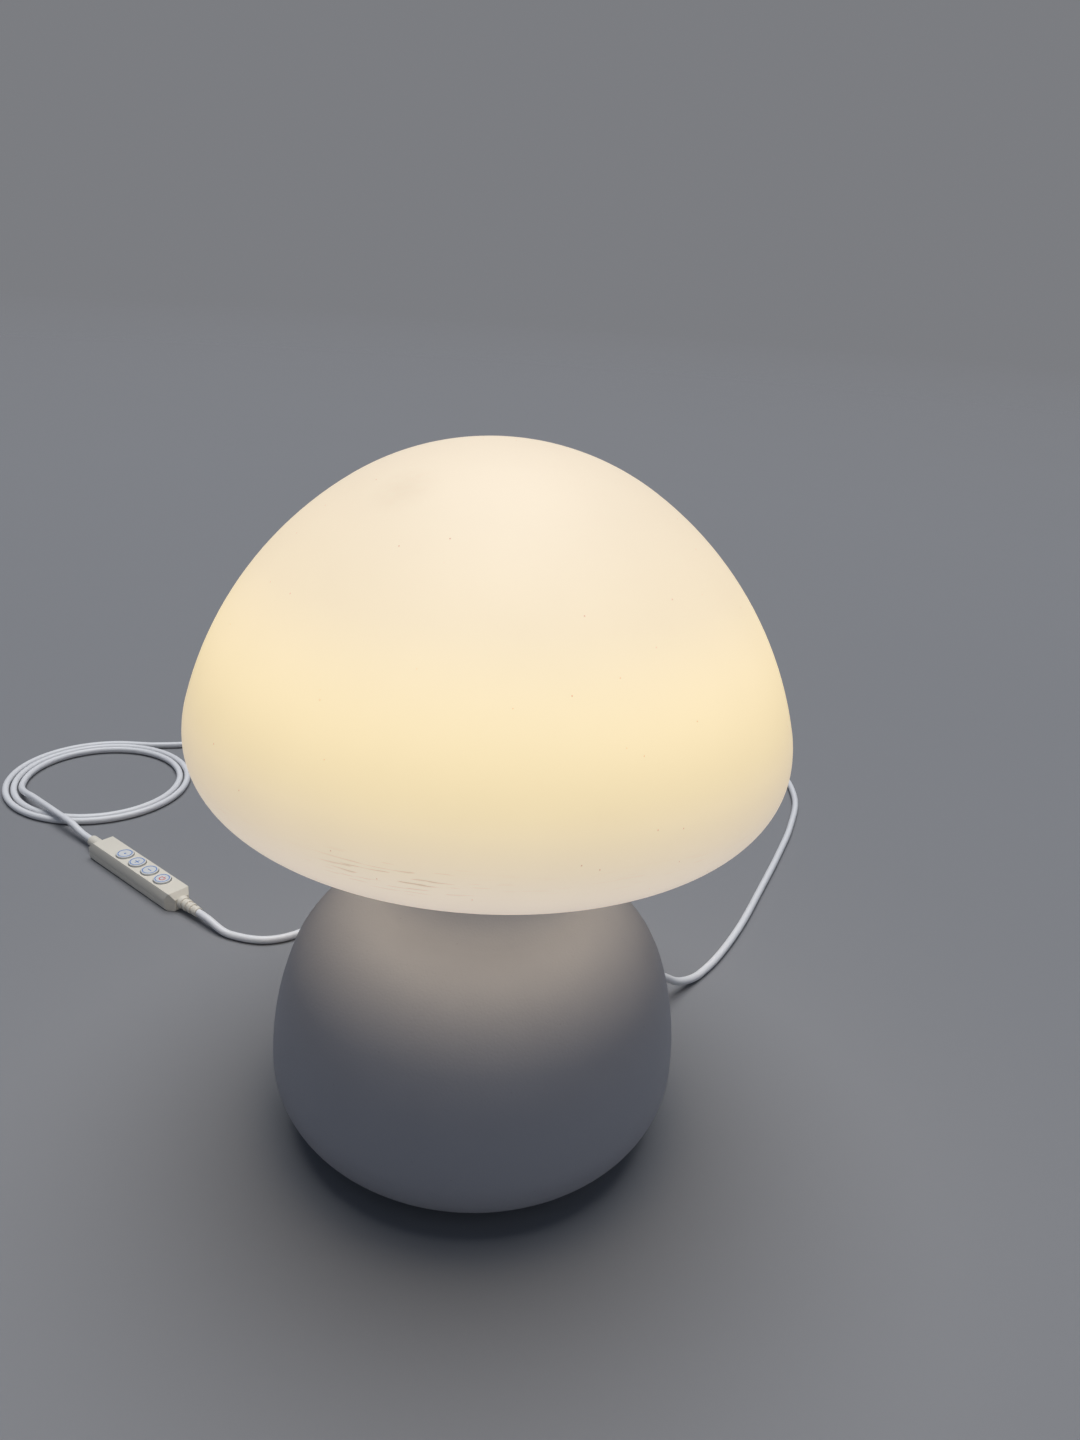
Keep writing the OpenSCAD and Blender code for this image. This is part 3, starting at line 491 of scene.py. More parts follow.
def height_ramp(finish, low, high, stops):
    """Colour by height along the lamp's axis. A stop is a height and a colour."""
    z = add(finish.tree, "SeparateXYZ", {0: finish.at}).outputs[2]
    ramp = add(finish.tree, "ValToRGB", {0: spread(finish.tree, z, low, high, 0.0, 1.0)})
    elements = ramp.color_ramp.elements
    ramp.color_ramp.interpolation = "B_SPLINE"
    while len(elements) < len(stops):
        elements.new(1.0)
    for element, (height, tint) in zip(elements, stops):
        element.position = (height - low) / (high - low)
        element.color = rgb(tint)
    return ramp.outputs["Color"]


def opal(name, low, high, glow_stops, glow):
    """Milky plastic that the lamp shines through, under a satin skin, with specks, scuffs and a smudge"""
    finish = Finish(name, SATIN, glow=glow)
    tree = finish.tree
    finish.shader["Specular IOR Level"].default_value = 0.0
    finish.shader["Coat Weight"].default_value = 1.0
    finish.shader["Coat Roughness"].default_value = SATIN
    finish.shader["Coat Tint"].default_value = rgb(SATIN_TINT)
    cloud = finish.group(mottle_effect(), scale=14.0, depth=0.12)
    light = blend(tree, 1.0, height_ramp(finish, low, high, glow_stops), cloud, "MULTIPLY")
    milk = finish.tinted(main_colours().milk, scale=30.0, depth=0.08)
    specks = finish.group(specks_effect(), scale=150.0, size=0.04, share=0.12)
    fine = finish.group(specks_effect(), scale=420.0, size=0.10, share=0.05)
    lines = finish.group(scuffs_effect(), height=SCUFFS_AT[2], reach=6.0 * MM, lines=1500.0, breaks=9.0)
    scuffs = math_node(tree, "MULTIPLY", lines, finish.near(SCUFFS_AT, inner=8.0 * MM, outer=24.0 * MM,
                                                            most=1.0, least=0.12))
    streaks = finish.group(grain_effect(), vector=finish.stretched(220.0, 500.0, 500.0), scale=1.0)
    smudge = math_node(tree, "MULTIPLY", streaks, finish.near(SMUDGE_AT, inner=2.0 * MM, outer=11.0 * MM,
                                                              most=0.2, least=0.0))
    marks = math_node(tree, "MAXIMUM", math_node(tree, "MAXIMUM", specks, fine),
                      math_node(tree, "MAXIMUM", scuffs, smudge))
    worn = math_node(tree, "MULTIPLY", marks, MARK_STRENGTH)
    finish.feed("Base Color", blend(tree, worn, milk, rgb(MARK_COLOUR)))
    finish.feed("Emission Color", blend(tree, worn, light, rgb(MARK_GLOW)))
    finish.bumped(finish.group(grain_effect(), scale=700.0), 0.01 * MM)
    return finish.material


def opal_shade(name):
    """The cap from outside: warm, yellower in the lower half, paler at the lip"""
    low, high = heights("shade")
    wall = [(height * MM, tint) for height, tint in WALL_GLOW]
    return opal(name, low, high, [(low, LIP_GLOW), *wall, (high, CROWN_GLOW)], main_colours().cap_glow)


def opal_underside(name):
    """The cap's underside ring, which the light chips shine through from close by"""
    low, high = heights("shade_ring")
    stops = [(low, RING_EDGE_GLOW), ((low + high) / 2, RING_GLOW), (high, RING_GLOW)]
    return opal(name, low, high, stops, main_colours().ring_glow)


def base_matte(name):
    """Sprayed matte base: soft patches, fine grain and a little dust"""
    return moulded(name, main_colours().base, 0.62, patch=22.0, depth=0.12, grain=1300.0,
                   bump=0.035 * MM)


def led_phosphor(name):
    """Yellow phosphor, lit"""
    finish = Finish(name, roughness=0.42, glow=1.0)
    crystal = finish.group(grain_effect(), scale=2600.0)
    finish.feed("Base Color", finish.tinted(PHOSPHOR_TINT, scale=900.0, depth=0.3))
    finish.feed("Emission Color", finish.tinted(PHOSPHOR_GLOW, scale=500.0, depth=0.25))
    finish.bumped(crystal, 0.02 * MM)
    return finish.material


def board_mask(name):
    """White solder mask, with the two round tracks that feed the chips showing through"""
    finish = Finish(name, BOARD_ROUGHNESS)
    tree = finish.tree
    flat = finish.stretched(1.0, 1.0, 0.0)
    away = add(tree, "VectorMath", {0: flat}, operation="LENGTH").outputs["Value"]
    tracks = [spread(tree, math_node(tree, "ABSOLUTE", math_node(tree, "SUBTRACT", away, radius)),
                     TRACK_FULL, TRACK_EDGE, 1.0, 0.0) for radius in TRACK_RADII]
    track = math_node(tree, "MAXIMUM", *tracks)
    white = finish.tinted(BOARD_TINT, scale=90.0, depth=0.08)
    finish.feed("Base Color", blend(tree, track, white, rgb(TRACK_TINT)))
    finish.rough(BOARD_ROUGHNESS, scale=300.0, depth=0.4)
    finish.bumped(math_node(tree, "ADD", math_node(tree, "MULTIPLY", track, TRACK_RISE),
                            finish.group(grain_effect(), scale=2200.0)), 0.015 * MM)
    return finish.material


def printed(name, tint):
    """Thin print of ink, a little uneven"""
    return moulded(name, tint, 0.45, patch=900.0, depth=0.25, grain=3000.0, bump=0.008 * MM)


FINISHES = {
    "opal_shade": opal_shade,
    "base_matte": base_matte,
    "cover_plastic": lambda name: moulded(name, (0.32, 0.31, 0.30), 0.55),
    "ballast_steel": lambda name: metal(name, (0.30, 0.31, 0.33), 0.48),
    "screw_steel": lambda name: metal(name, (0.62, 0.63, 0.65), 0.30),
    "pad_rubber": lambda name: moulded(name, (0.075, 0.075, 0.08), 0.8, grain=900.0, bump=0.06 * MM),
    "cord_white": lambda name: moulded(name, main_colours().cord, 0.42, patch=45.0, depth=0.12,
                                       grain=900.0, bump=0.02 * MM),
    "black_plastic": lambda name: moulded(name, (0.022, 0.022, 0.025), 0.5),
    "head_plastic": lambda name: moulded(name, (0.70, 0.68, 0.63), 0.5),
    "gasket_silicone": lambda name: moulded(name, (0.62, 0.63, 0.63), 0.6, bump=0.02 * MM),
    "spreader_metal": lambda name: metal(name, (0.68, 0.69, 0.71), 0.34),
    "board_mask": board_mask,
    "led_phosphor": led_phosphor,
    "case_plastic": lambda name: moulded(name, main_colours().case, 0.48, grain=1700.0, bump=0.025 * MM),
    "circuit_board": lambda name: moulded(name, (0.02, 0.12, 0.045), 0.4, grain=2200.0, bump=0.015 * MM),
    "button_grey": lambda name: moulded(name, main_colours().button, 0.5, grain=2400.0, bump=0.015 * MM),
    "button_red": lambda name: moulded(name, (0.55, 0.05, 0.045), 0.45, grain=2400.0, bump=0.015 * MM),
    "contact_gold": lambda name: metal(name, (0.80, 0.56, 0.18), 0.22),
}


def finish_of(slot):
    """The slot's material, made the first time that it is asked for"""
    return bpy.data.materials.get("finish_" + slot) or FINISHES[slot]("finish_" + slot)


# Meshes


def piece_from(bm, name, body, slot, replaced=(), material=None):
    """Object from a bmesh, with its finish, that rides on a body and stands for the replaced nodes"""
    mesh = bpy.data.meshes.new(name)
    bm.to_mesh(mesh)
    bm.free()
    mesh.materials.append(material or finish_of(slot))
    piece = bpy.data.objects.new(name, mesh)
    bpy.context.scene.collection.objects.link(piece)
    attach(piece, body)
    if replaced:
        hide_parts(*replaced)
    return piece


def shade_smooth(bm, sharp):
    """Smooth shading, apart from edges that turn by more than an angle. Returns those edges."""
    for face in bm.faces:
        face.smooth = True
    edges = [edge for edge in bm.edges if edge.is_manifold and edge.calc_face_angle() > sharp]
    for edge in edges:
        edge.smooth = False
    return edges


def everything(bm):
    """All vertices, edges and faces of a bmesh"""
    return bm.verts[:] + bm.edges[:] + bm.faces[:]


def round_edges(bm, edges, offset, segments=3):
    """Round edges, no further than their faces leave room for."""
    bmesh.ops.bevel(bm, geom=edges, offset=offset, affect="EDGES", segments=segments, profile=0.5,
                    material=-1, clamp_overlap=True)


def press(bm, faces, depth):
    """Push faces straight down into a solid."""
    made = bmesh.ops.extrude_face_region(bm, geom=faces)["geom"]
    bmesh.ops.delete(bm, geom=faces, context="FACES_ONLY")
    moved = [part for part in made if isinstance(part, bmesh.types.BMVert)]
    bmesh.ops.translate(bm, vec=-depth * AXIS, verts=moved)


def turn_about_axis(bm, verts, turn):
    """Turn vertices about the Z axis."""
    bmesh.ops.rotate(bm, verts=verts[:], cent=ORIGIN, matrix=Matrix.Rotation(turn, 3, "Z"))


def skin(node, name, rounding=0.0, long_only=False):
    """Merged, smooth copy that stands for a CAD node, with its sharp edges, or the long ones, rounded"""
    bm = bmesh.new()
    bm.from_mesh(NODES[node].data)
    bmesh.ops.remove_doubles(bm, verts=bm.verts[:], dist=MERGE)
    if rounding:
        bmesh.ops.dissolve_limit(bm, angle_limit=FLAT, verts=bm.verts[:], edges=bm.edges[:])
        shortest = LONG_EDGE * rounding if long_only else 0.0
        edges = [edge for edge in shade_smooth(bm, SHARP) if edge.calc_length() > shortest]
        round_edges(bm, edges, rounding)
        bmesh.ops.dissolve_degenerate(bm, dist=MERGE, edges=bm.edges[:])
        bmesh.ops.triangulate(bm, faces=[face for face in bm.faces if len(face.verts) > 4])
    shade_smooth(bm, SHARP)
    piece = piece_from(bm, name, BODY_OF[node], SLOT_OF[node], [node])
    normals = piece.data.attributes.get("custom_normal")
    if normals:
        piece.data.attributes.remove(normals)
    return piece


def dress(*nodes):
    """Give CAD nodes that are shown as they are their finish."""
    for node in nodes:
        slots = NODES[node].data.materials
        slots.clear()
        slots.append(finish_of(SLOT_OF[node]))


class Outline:
    """Outline in the XZ plane, drawn from point to point, then turned round the Z axis"""

    def __init__(self, x, z):
        self.bm = bmesh.new()
        self.first = self.pen = self.bm.verts.new((x, 0.0, z))

    def line(self, x, z):
        """Straight line to a point"""
        self.pen = bmesh.ops.extrude_vert_indiv(self.bm, verts=[self.pen])["verts"][0]
        self.pen.co = Vector((x, 0.0, z))

    def arc(self, x, z, turn, steps):
        """Arc about a point, outwards and down where the turn is positive"""
        made = bmesh.ops.spin(self.bm, geom=[self.pen], cent=(x, 0.0, z), axis=(0.0, 1.0, 0.0),
                              angle=turn, steps=steps)
        self.pen = next(part for part in made["geom_last"] if isinstance(part, bmesh.types.BMVert))

    def close(self):
        """Straight line back to the first point"""
        self.bm.edges.new((self.pen, self.first))

    def turned(self, steps, edge=0.0):
        """The turned solid, with its sharp edges rounded"""
        bm = self.bm
        for vert in bm.verts:
            if abs(vert.co.x) < ON_AXIS:
                vert.co.x = 0.0
        bmesh.ops.spin(bm, geom=bm.verts[:] + bm.edges[:], cent=ORIGIN, axis=AXIS, angle=math.tau,
                       steps=steps, use_merge=True)
        bmesh.ops.remove_doubles(bm, verts=bm.verts[:], dist=MERGE)
        bmesh.ops.recalc_face_normals(bm, faces=bm.faces[:])
        if edge:
            round_edges(bm, shade_smooth(bm, SHARP), edge)
        shade_smooth(bm, SHARP)
        return bm


def block(bm, size, middle):
    """Block about a point. Returns its corners."""
    place = Matrix.Translation(middle) @ Matrix.Diagonal((*size, 1.0))
    return bmesh.ops.create_cube(bm, size=1.0, matrix=place)["verts"]


def bar(bm, size, middle, edge):
    """Block with rounded edges"""
    edges = {side for vert in block(bm, size, middle) for side in vert.link_edges}
    round_edges(bm, list(edges), edge, segments=2)


def hoop(bm, radius, line, low, high, start=0.0, turn=math.tau, steps=RING_STEPS):
    """Flat ring about the Z axis, or a part of one"""
    inner, outer = radius - line / 2, radius + line / 2
    section = [bm.verts.new((x, 0.0, z))
               for x, z in ((inner, low), (outer, low), (outer, high), (inner, high))]
    face = bm.faces.new(section)
    turn_about_axis(bm, section, start)
    whole = turn >= math.tau
    geom = section + face.edges[:] + ([] if whole else [face])
    if whole:
        bmesh.ops.delete(bm, geom=[face], context="FACES_ONLY")
    bmesh.ops.spin(bm, geom=geom, cent=ORIGIN, axis=AXIS, angle=turn, steps=steps, use_merge=whole)


def hollow_block(low, high, wall, depth, edge):
    """Block with a pocket in its top and rounded upright edges"""
    bm = bmesh.new()
    block(bm, high - low, (low + high) / 2)
    upright = [side for side in bm.edges if abs(side.verts[0].co.z - side.verts[1].co.z) > MERGE]
    round_edges(bm, upright, edge)
    top = [face for face in bm.faces if face.normal.z > FACES_UP]
    bmesh.ops.inset_region(bm, faces=top, thickness=wall)
    press(bm, top, depth)
    shade_smooth(bm, CORNER)
    return bm


def on_ring(bm, copies):
    """Repeat what is in the bmesh evenly about the Z axis."""
    if copies > 1:
        bmesh.ops.spin(bm, geom=everything(bm), cent=ORIGIN, axis=AXIS,
                       angle=math.tau * (copies - 1) / copies, steps=copies - 1, use_duplicate=True)


def cross_recess(bm, width, span, depth):
    """Cross for a screwdriver, pressed into the flat top of a solid on the Z axis"""
    top = max(vert.co.z for vert in bm.verts)
    for off in (-span / 2, -width / 2, width / 2, span / 2):
        for across in ((1.0, 0.0, 0.0), (0.0, 1.0, 0.0)):
            bmesh.ops.bisect_plane(bm, geom=everything(bm), dist=MERGE, plane_co=Vector(across) * off,
                                   plane_no=across)

    def inside(at):
        long, short = max(abs(at.x), abs(at.y)), min(abs(at.x), abs(at.y))
        return long < span / 2 and short < width / 2 and top - at.z < MERGE

    press(bm, [face for face in bm.faces if inside(face.calc_center_median())], depth)


# Cord


def heading(turn):
    """Level direction, turned from +X towards +Y"""
    return Vector((math.cos(turn), math.sin(turn), 0.0))


# Routes on the table, in millimetres. A third number is a share of the height at which the cord leaves.
LAMP_DROP = [(77, 60, 0.78), (87, 68, 0.32)]
LAMP_ROUTE = [(98, 79), (110, 95), (125, 121), (142, 156), (158, 190), (173, 225), (184, 262), (182, 300),
              (160, 330), (122, 346), (76, 350), (28, 346), (-20, 340), (-68, 333), (-114, 321), (-154, 304),
              (-182, 291)]
PLUG_ROUTE = [(-112, 93), (-95, 90), (-80, 98), (-70, 116), (-62, 142), (-48, 170), (-24, 192), (8, 204),
              (42, 210), (74, 206), (92, 190), (88, 170), (70, 161)]
EXIT_ANGLE = math.radians(38.0)
EXIT_REACH = 80.0 * MM
EXIT_HEIGHT = 18.0 * MM
EXIT_TIP = EXIT_REACH * heading(EXIT_ANGLE) + EXIT_HEIGHT * AXIS
LOOP_MIDDLE = Vector((-218.0, 236.0, 0.0)) * MM
LOOP_START = math.radians(90.0)
LOOP_LEAVE = math.radians(229.0)
LOOP_LEAD_IN = 7.0 * MM
LOOP_RISE_FROM = -30.0 * MM
LOOP_RISE_RUN = 34.0 * MM
LOOP_FALL_FROM = 40.0 * MM
LOOP_FALL_RUN = 14.0 * MM
TAIL_ANGLE = LOOP_LEAVE + math.pi / 2
TAIL_LENGTH = 62.0 * MM
TAIL_STEPS = 24
INLET_LENGTH = 8.0 * MM
CASE_LENGTH = 70.0 * MM
OUTLET_LENGTH = 13.0 * MM
INTO_CASE = 12.0 * MM
CASE_LIFT = 4.2 * MM
PLUG_AT = Vector((50.0, 160.0, 3.7)) * MM
STRAIGHT_RUN = 6.0 * MM


def eased(t):
    """Smooth step from 0 to 1"""
    t = min(max(t, 0.0), 1.0)
    return t * t * (3.0 - 2.0 * t)


def smooth_route(points, low, steps=8):
    """Smooth line through the points, no lower than a height, with its first and last runs straight"""
    line = [points[0]]
    for a, b, c, d in zip(points, points[1:], points[2:], points[3:]):
        for k in range(steps):
            t = k / steps
            at = 0.5 * (2 * b + (c - a) * t + (2 * a - 5 * b + 4 * c - d) * t**2
                        + (3 * b - a - 3 * c + d) * t**3)
            line.append(Vector((at.x, at.y, max(at.z, low))))
    return line + points[-2:]


def on_table(route, low):
    """Points of a route in millimetres, at a height"""
    return [Vector((x * MM, y * MM, low)) for x, y in route]


def loop_sweep(cord):
    """Angle that the loops turn through"""
    return math.tau * cord.loop_turns + LOOP_LEAVE - LOOP_START


def loop_radius(cord, turned):
    """Radius of the spiral of loops, after an angle"""
    return cord.loop_radius - (cord.diameter + cord.loop_gap) * turned / math.tau


def loop_point(cord, turned):
    """Point of the spiral on the table, after an angle"""
    return LOOP_MIDDLE + loop_radius(cord, turned) * heading(LOOP_START + turned)


def loop_route(cord, low, steps=72):
    """Loops from the outer turn inwards, then straight out over them to the switch box"""
    sweep = loop_sweep(cord)
    inner = loop_radius(cord, sweep)

    def raised(flat, run):
        rise = cord.loop_rise * eased((run - LOOP_RISE_FROM) / LOOP_RISE_RUN)
        fall = (cord.loop_rise + low - CASE_LIFT) * eased((run - LOOP_FALL_FROM) / LOOP_FALL_RUN)
        return flat + AXIS * (low + rise - fall)

    line = []
    turns = round(steps * sweep / math.tau)
    for k in range(turns + 1):
        turned = sweep * k / turns
        line.append(raised(loop_point(cord, turned), (turned - sweep) * inner))
    leaving = loop_point(cord, sweep)
    for k in range(1, TAIL_STEPS + 1):
        run = (TAIL_LENGTH + INTO_CASE) * k / TAIL_STEPS
        line.append(raised(leaving + run * heading(TAIL_ANGLE), run))
    return line


def cord_piece(name, line, cord, replaced):
    """Round cord along a line, in place of its CAD solids"""
    curve = bpy.data.curves.new(name, "CURVE")
    curve.dimensions = "3D"
    curve.bevel_depth = cord.diameter / 2
    curve.bevel_resolution = cord.sides
    curve.use_fill_caps = True
    spline = curve.splines.new("POLY")
    spline.points.add(len(line) - 1)
    for point, at in zip(spline.points, line):
        point.co = (*at, 1.0)
    curve.materials.append(finish_of("cord_white"))
    piece = bpy.data.objects.new(name, curve)
    bpy.context.scene.collection.objects.link(piece)
    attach(piece, "lamp")
    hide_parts(*replaced)
    return piece


# Operators


class LAMP_OT_stage(bpy.types.Operator):
    """Camera at the viewing angle of the picture, grey floor and soft light"""

    bl_idname = "lamp.stage"
    bl_label = "Stage"

    def execute(self, context):
        stage = context.scene.lamp_stage
        context.scene.view_settings.view_transform = "Standard"
        self.add_camera(context, stage)
        self.add_floor(context, stage)
        self.add_light(context, "key", stage.key, stage.key_spread, stage.key_from)
        self.add_light(context, "fill", stage.fill, stage.fill_spread, stage.fill_from)
        self.add_world(context, stage)
        return {"FINISHED"}

    def add_camera(self, context, stage):
        lens = bpy.data.cameras.new("camera")
        lens.lens = stage.lens
        camera = bpy.data.objects.new("camera", lens)
        context.scene.collection.objects.link(camera)
        camera.matrix_world = (Matrix.Translation(stage.eye) @ Matrix.Rotation(-stage.yaw, 4, "Z")
                               @ Matrix.Rotation(math.pi / 2 - stage.pitch, 4, "X")
                               @ Matrix.Rotation(stage.roll, 4, "Z"))
        context.scene.camera = camera

    def add_floor(self, context, stage):
        bm = bmesh.new()
        bmesh.ops.create_circle(bm, cap_ends=True, segments=FLOOR_STEPS, radius=stage.floor_radius)
        mesh = bpy.data.meshes.new("floor")
        bm.to_mesh(mesh)
        bm.free()
        floor = bpy.data.objects.new("floor", mesh)
        context.scene.collection.objects.link(floor)
        finish = Finish("floor", roughness=0.7)
        finish.feed("Base Color", finish.tinted(stage.floor_colour, scale=3.0, depth=0.03))
        away = add(finish.tree, "VectorMath", {0: finish.at}, operation="LENGTH").outputs["Value"]
        finish.feed("Alpha", spread(finish.tree, away, stage.floor_fade, stage.floor_radius, 1.0, 0.0))
        mesh.materials.append(finish.material)

    def add_light(self, context, name, strength, width, source):
        light = bpy.data.lights.new(name, "SUN")
        light.energy = strength
        light.angle = width
        lamp = bpy.data.objects.new(name, light)
        context.scene.collection.objects.link(lamp)
        lamp.matrix_world = source.to_track_quat("Z", "Y").to_matrix().to_4x4()

    def add_world(self, context, stage):
        world = bpy.data.worlds.new("world")
        context.scene.world = world
        world.use_nodes = True
        tree = world.node_tree
        rays = add(tree, "LightPath").outputs
        seen = math_node(tree, "MAXIMUM", rays["Is Camera Ray"],
                         math_node(tree, "MAXIMUM", rays["Is Glossy Ray"], rays["Is Transmission Ray"]))
        shown = blend(tree, seen, rgb(stage.ambient), rgb(stage.backdrop))
        tree.links.new(shown, tree.nodes["Background"].inputs["Color"])


class LAMP_OT_cap(bpy.types.Operator):
    """Opal cap: a dome that rolls in at its lip, and the underside ring that rests on the light head"""

    bl_idname = "lamp.cap"
    bl_label = "Cap"

    def execute(self, context):
        cap = context.scene.lamp_cap
        low, high = corners("shade")
        widest = high.x
        lip_z = low.z + cap.lip_radius
        crown_z = high.z - cap.crown_radius
        flank = ((widest - cap.crown_radius * math.sin(cap.crown_slope)
                  - cap.rim_radius * (1.0 - math.sin(cap.flank_slope)))
                 / (math.sin(cap.flank_slope) - math.sin(cap.crown_slope)))
        flank_x = -(flank - cap.crown_radius) * math.sin(cap.crown_slope)
        flank_z = crown_z - (flank - cap.crown_radius) * math.cos(cap.crown_slope)
        up = Vector((math.sin(cap.rise), 0.0, math.cos(cap.rise)))
        inward = Vector((-math.cos(cap.rise), 0.0, math.sin(cap.rise)))
        lip_end = Vector((widest - cap.lip_radius, 0.0, lip_z)) - cap.lip_radius * up
        corner = lip_end + cap.wall / 2 * up
        shoulder = corner + cap.lap * inward
        inside = shoulder + cap.wall / 2 * up
        arcs = [(0.0, crown_z, cap.crown_slope), (flank_x, flank_z, cap.flank_slope - cap.crown_slope),
                (widest - cap.rim_radius, lip_z, math.pi / 2 - cap.flank_slope),
                (widest - cap.lip_radius, lip_z, math.pi / 2 + cap.rise)]

        dome = Outline(0.0, high.z)
        for x, z, turn in arcs:
            dome.arc(x, z, turn, cap.arc_steps)
        for point in (corner, shoulder, inside, lip_end + cap.wall * up):
            dome.line(point.x, point.z)
        for x, z, turn in reversed(arcs):
            dome.arc(x, z, -turn, cap.arc_steps)
        piece_from(dome.turned(cap.steps), "cap_dome", "cap", "opal_shade", ["shade"])

        seat_z = heights("shade_ring")[1] - cap.upstand_height
        upstand = cap.opening_radius + cap.upstand_wall
        ring = Outline(lip_end.x, lip_end.z)
        ring.line(cap.land_radius, seat_z)
        ring.line(cap.opening_radius, seat_z)
        ring.line(cap.opening_radius, seat_z + cap.upstand_height)
        ring.line(upstand, seat_z + cap.upstand_height)
        ring.line(upstand, seat_z + cap.wall)
        ring.line(cap.land_radius, seat_z + cap.wall / math.cos(cap.rise))
        for point in (inside, shoulder, corner):
            ring.line(point.x, point.z)
        ring.close()
        piece_from(ring.turned(cap.steps, cap.edge), "cap_ring", "cap", "opal_shade", ["shade_ring"],
                   opal_underside("finish_opal_underside"))
        return {"FINISHED"}


class LAMP_OT_base(bpy.types.Operator):
    """Flattened-ball base with its cover, ballast, pads and cord gland"""

    bl_idname = "lamp.base"
    bl_label = "Base"

    def execute(self, context):
        skin("base_shell", "base_body")
        skin("cord_gland", "gland", context.scene.lamp_edge.gland)
        dress("bottom_cover", "ballast_plate", "cover_screws", "foot_pads", "pull_stop", "inner_lead")
        return {"FINISHED"}


class LAMP_OT_light_head(bpy.types.Operator):
    """Light head that the cap rests on, with its gasket, board and light chips"""

    bl_idname = "lamp.light_head"
    bl_label = "Light head"

    def execute(self, context):
        chip = context.scene.lamp_chip
        edge = context.scene.lamp_edge
        skin("light_head", "head_body", edge.head)
        skin("seat_gasket", "gasket_ring", edge.gasket)
        dress("heat_spreader", "led_board")
        self.add_chips(chip)
        self.add_screws(chip)
        self.add_connector(chip)
        return {"FINISHED"}

    def add_chips(self, chip):
        low, high = heights("led_chips")
        turn = math.pi / chip.count
        half = chip.side / 2
        frames = hollow_block(Vector((chip.ring - half, -half, low)), Vector((chip.ring + half, half, high)),
                              chip.frame, chip.pocket, chip.corner)
        on_ring(frames, chip.count)
        turn_about_axis(frames, frames.verts, turn)
        piece_from(frames, "chip_frames", "lamp", "board_mask", ["led_chips"])

        fill = bmesh.new()
        side = chip.side - 2 * chip.frame
        depth = chip.pocket - chip.fill
        bar(fill, (side, side, depth), (chip.ring, 0.0, high - chip.fill - depth / 2), chip.fill_edge)
        on_ring(fill, chip.count)
        turn_about_axis(fill, fill.verts, turn)
        piece_from(fill, "chip_phosphor", "lamp", "led_phosphor")

    def add_connector(self, chip):
        housing = hollow_block(*corners("board_connector"), chip.housing, chip.socket, chip.housing_corner)
        piece_from(housing, "connector", "lamp", "board_mask", ["board_connector"])
        top = heights("inner_lead")[1]
        for off, name, slot in ((-0.5, "wire_minus", "black_plastic"), (0.5, "wire_plus", "button_red")):
            wire = bmesh.new()
            bmesh.ops.create_circle(wire, cap_ends=True, segments=WIRE_SIDES, radius=chip.wire_radius,
                                    matrix=Matrix.Translation((0.0, off * chip.wire_gap, top)))
            bmesh.ops.spin(wire, geom=everything(wire), angle=math.pi, steps=WIRE_STEPS,
                           cent=(chip.wire_bend, 0.0, top), axis=(0.0, 1.0, 0.0))
            bmesh.ops.recalc_face_normals(wire, faces=wire.faces[:])
            shade_smooth(wire, CORNER)
            piece_from(wire, name, "lamp", slot)

    def add_screws(self, chip):
        low, high = heights("board_screws")
        seat = heights("led_board")[1]
        flat = chip.head_radius - chip.head_edge
        screw = Outline(0.0, high)
        screw.line(flat, high)
        screw.arc(flat, high - chip.head_edge, math.pi / 2, SCREW_EDGE_STEPS)
        screw.line(chip.head_radius, seat)
        screw.line(chip.shank_radius, seat)
        screw.line(chip.shank_radius, low)
        screw.line(0.0, low)
        bm = screw.turned(SCREW_STEPS)
        cross_recess(bm, chip.recess_width, chip.recess_length, chip.recess_depth)
        shade_smooth(bm, SHARP)
        bmesh.ops.translate(bm, vec=(chip.screw_ring, 0.0, 0.0), verts=bm.verts[:])
        on_ring(bm, chip.screw_count)
        piece_from(bm, "board_screw_set", "lamp", "screw_steel", ["board_screws"])


class LAMP_OT_switch_box(bpy.types.Operator):
    """In-line switch box with its two case halves, strain reliefs and board"""

    bl_idname = "lamp.switch_box"
    bl_label = "Switch box"

    def execute(self, context):
        edge = context.scene.lamp_edge
        skin("switch_top_case", "case_top", edge.case_top, long_only=True)
        skin("switch_bottom_case", "case_bottom", edge.case_bottom, long_only=True)
        skin("switch_inlet_relief", "inlet_relief", edge.relief)
        skin("switch_outlet_relief", "outlet_relief", edge.relief)
        dress("switch_board", "tact_switches", "driver_chip")
        return {"FINISHED"}


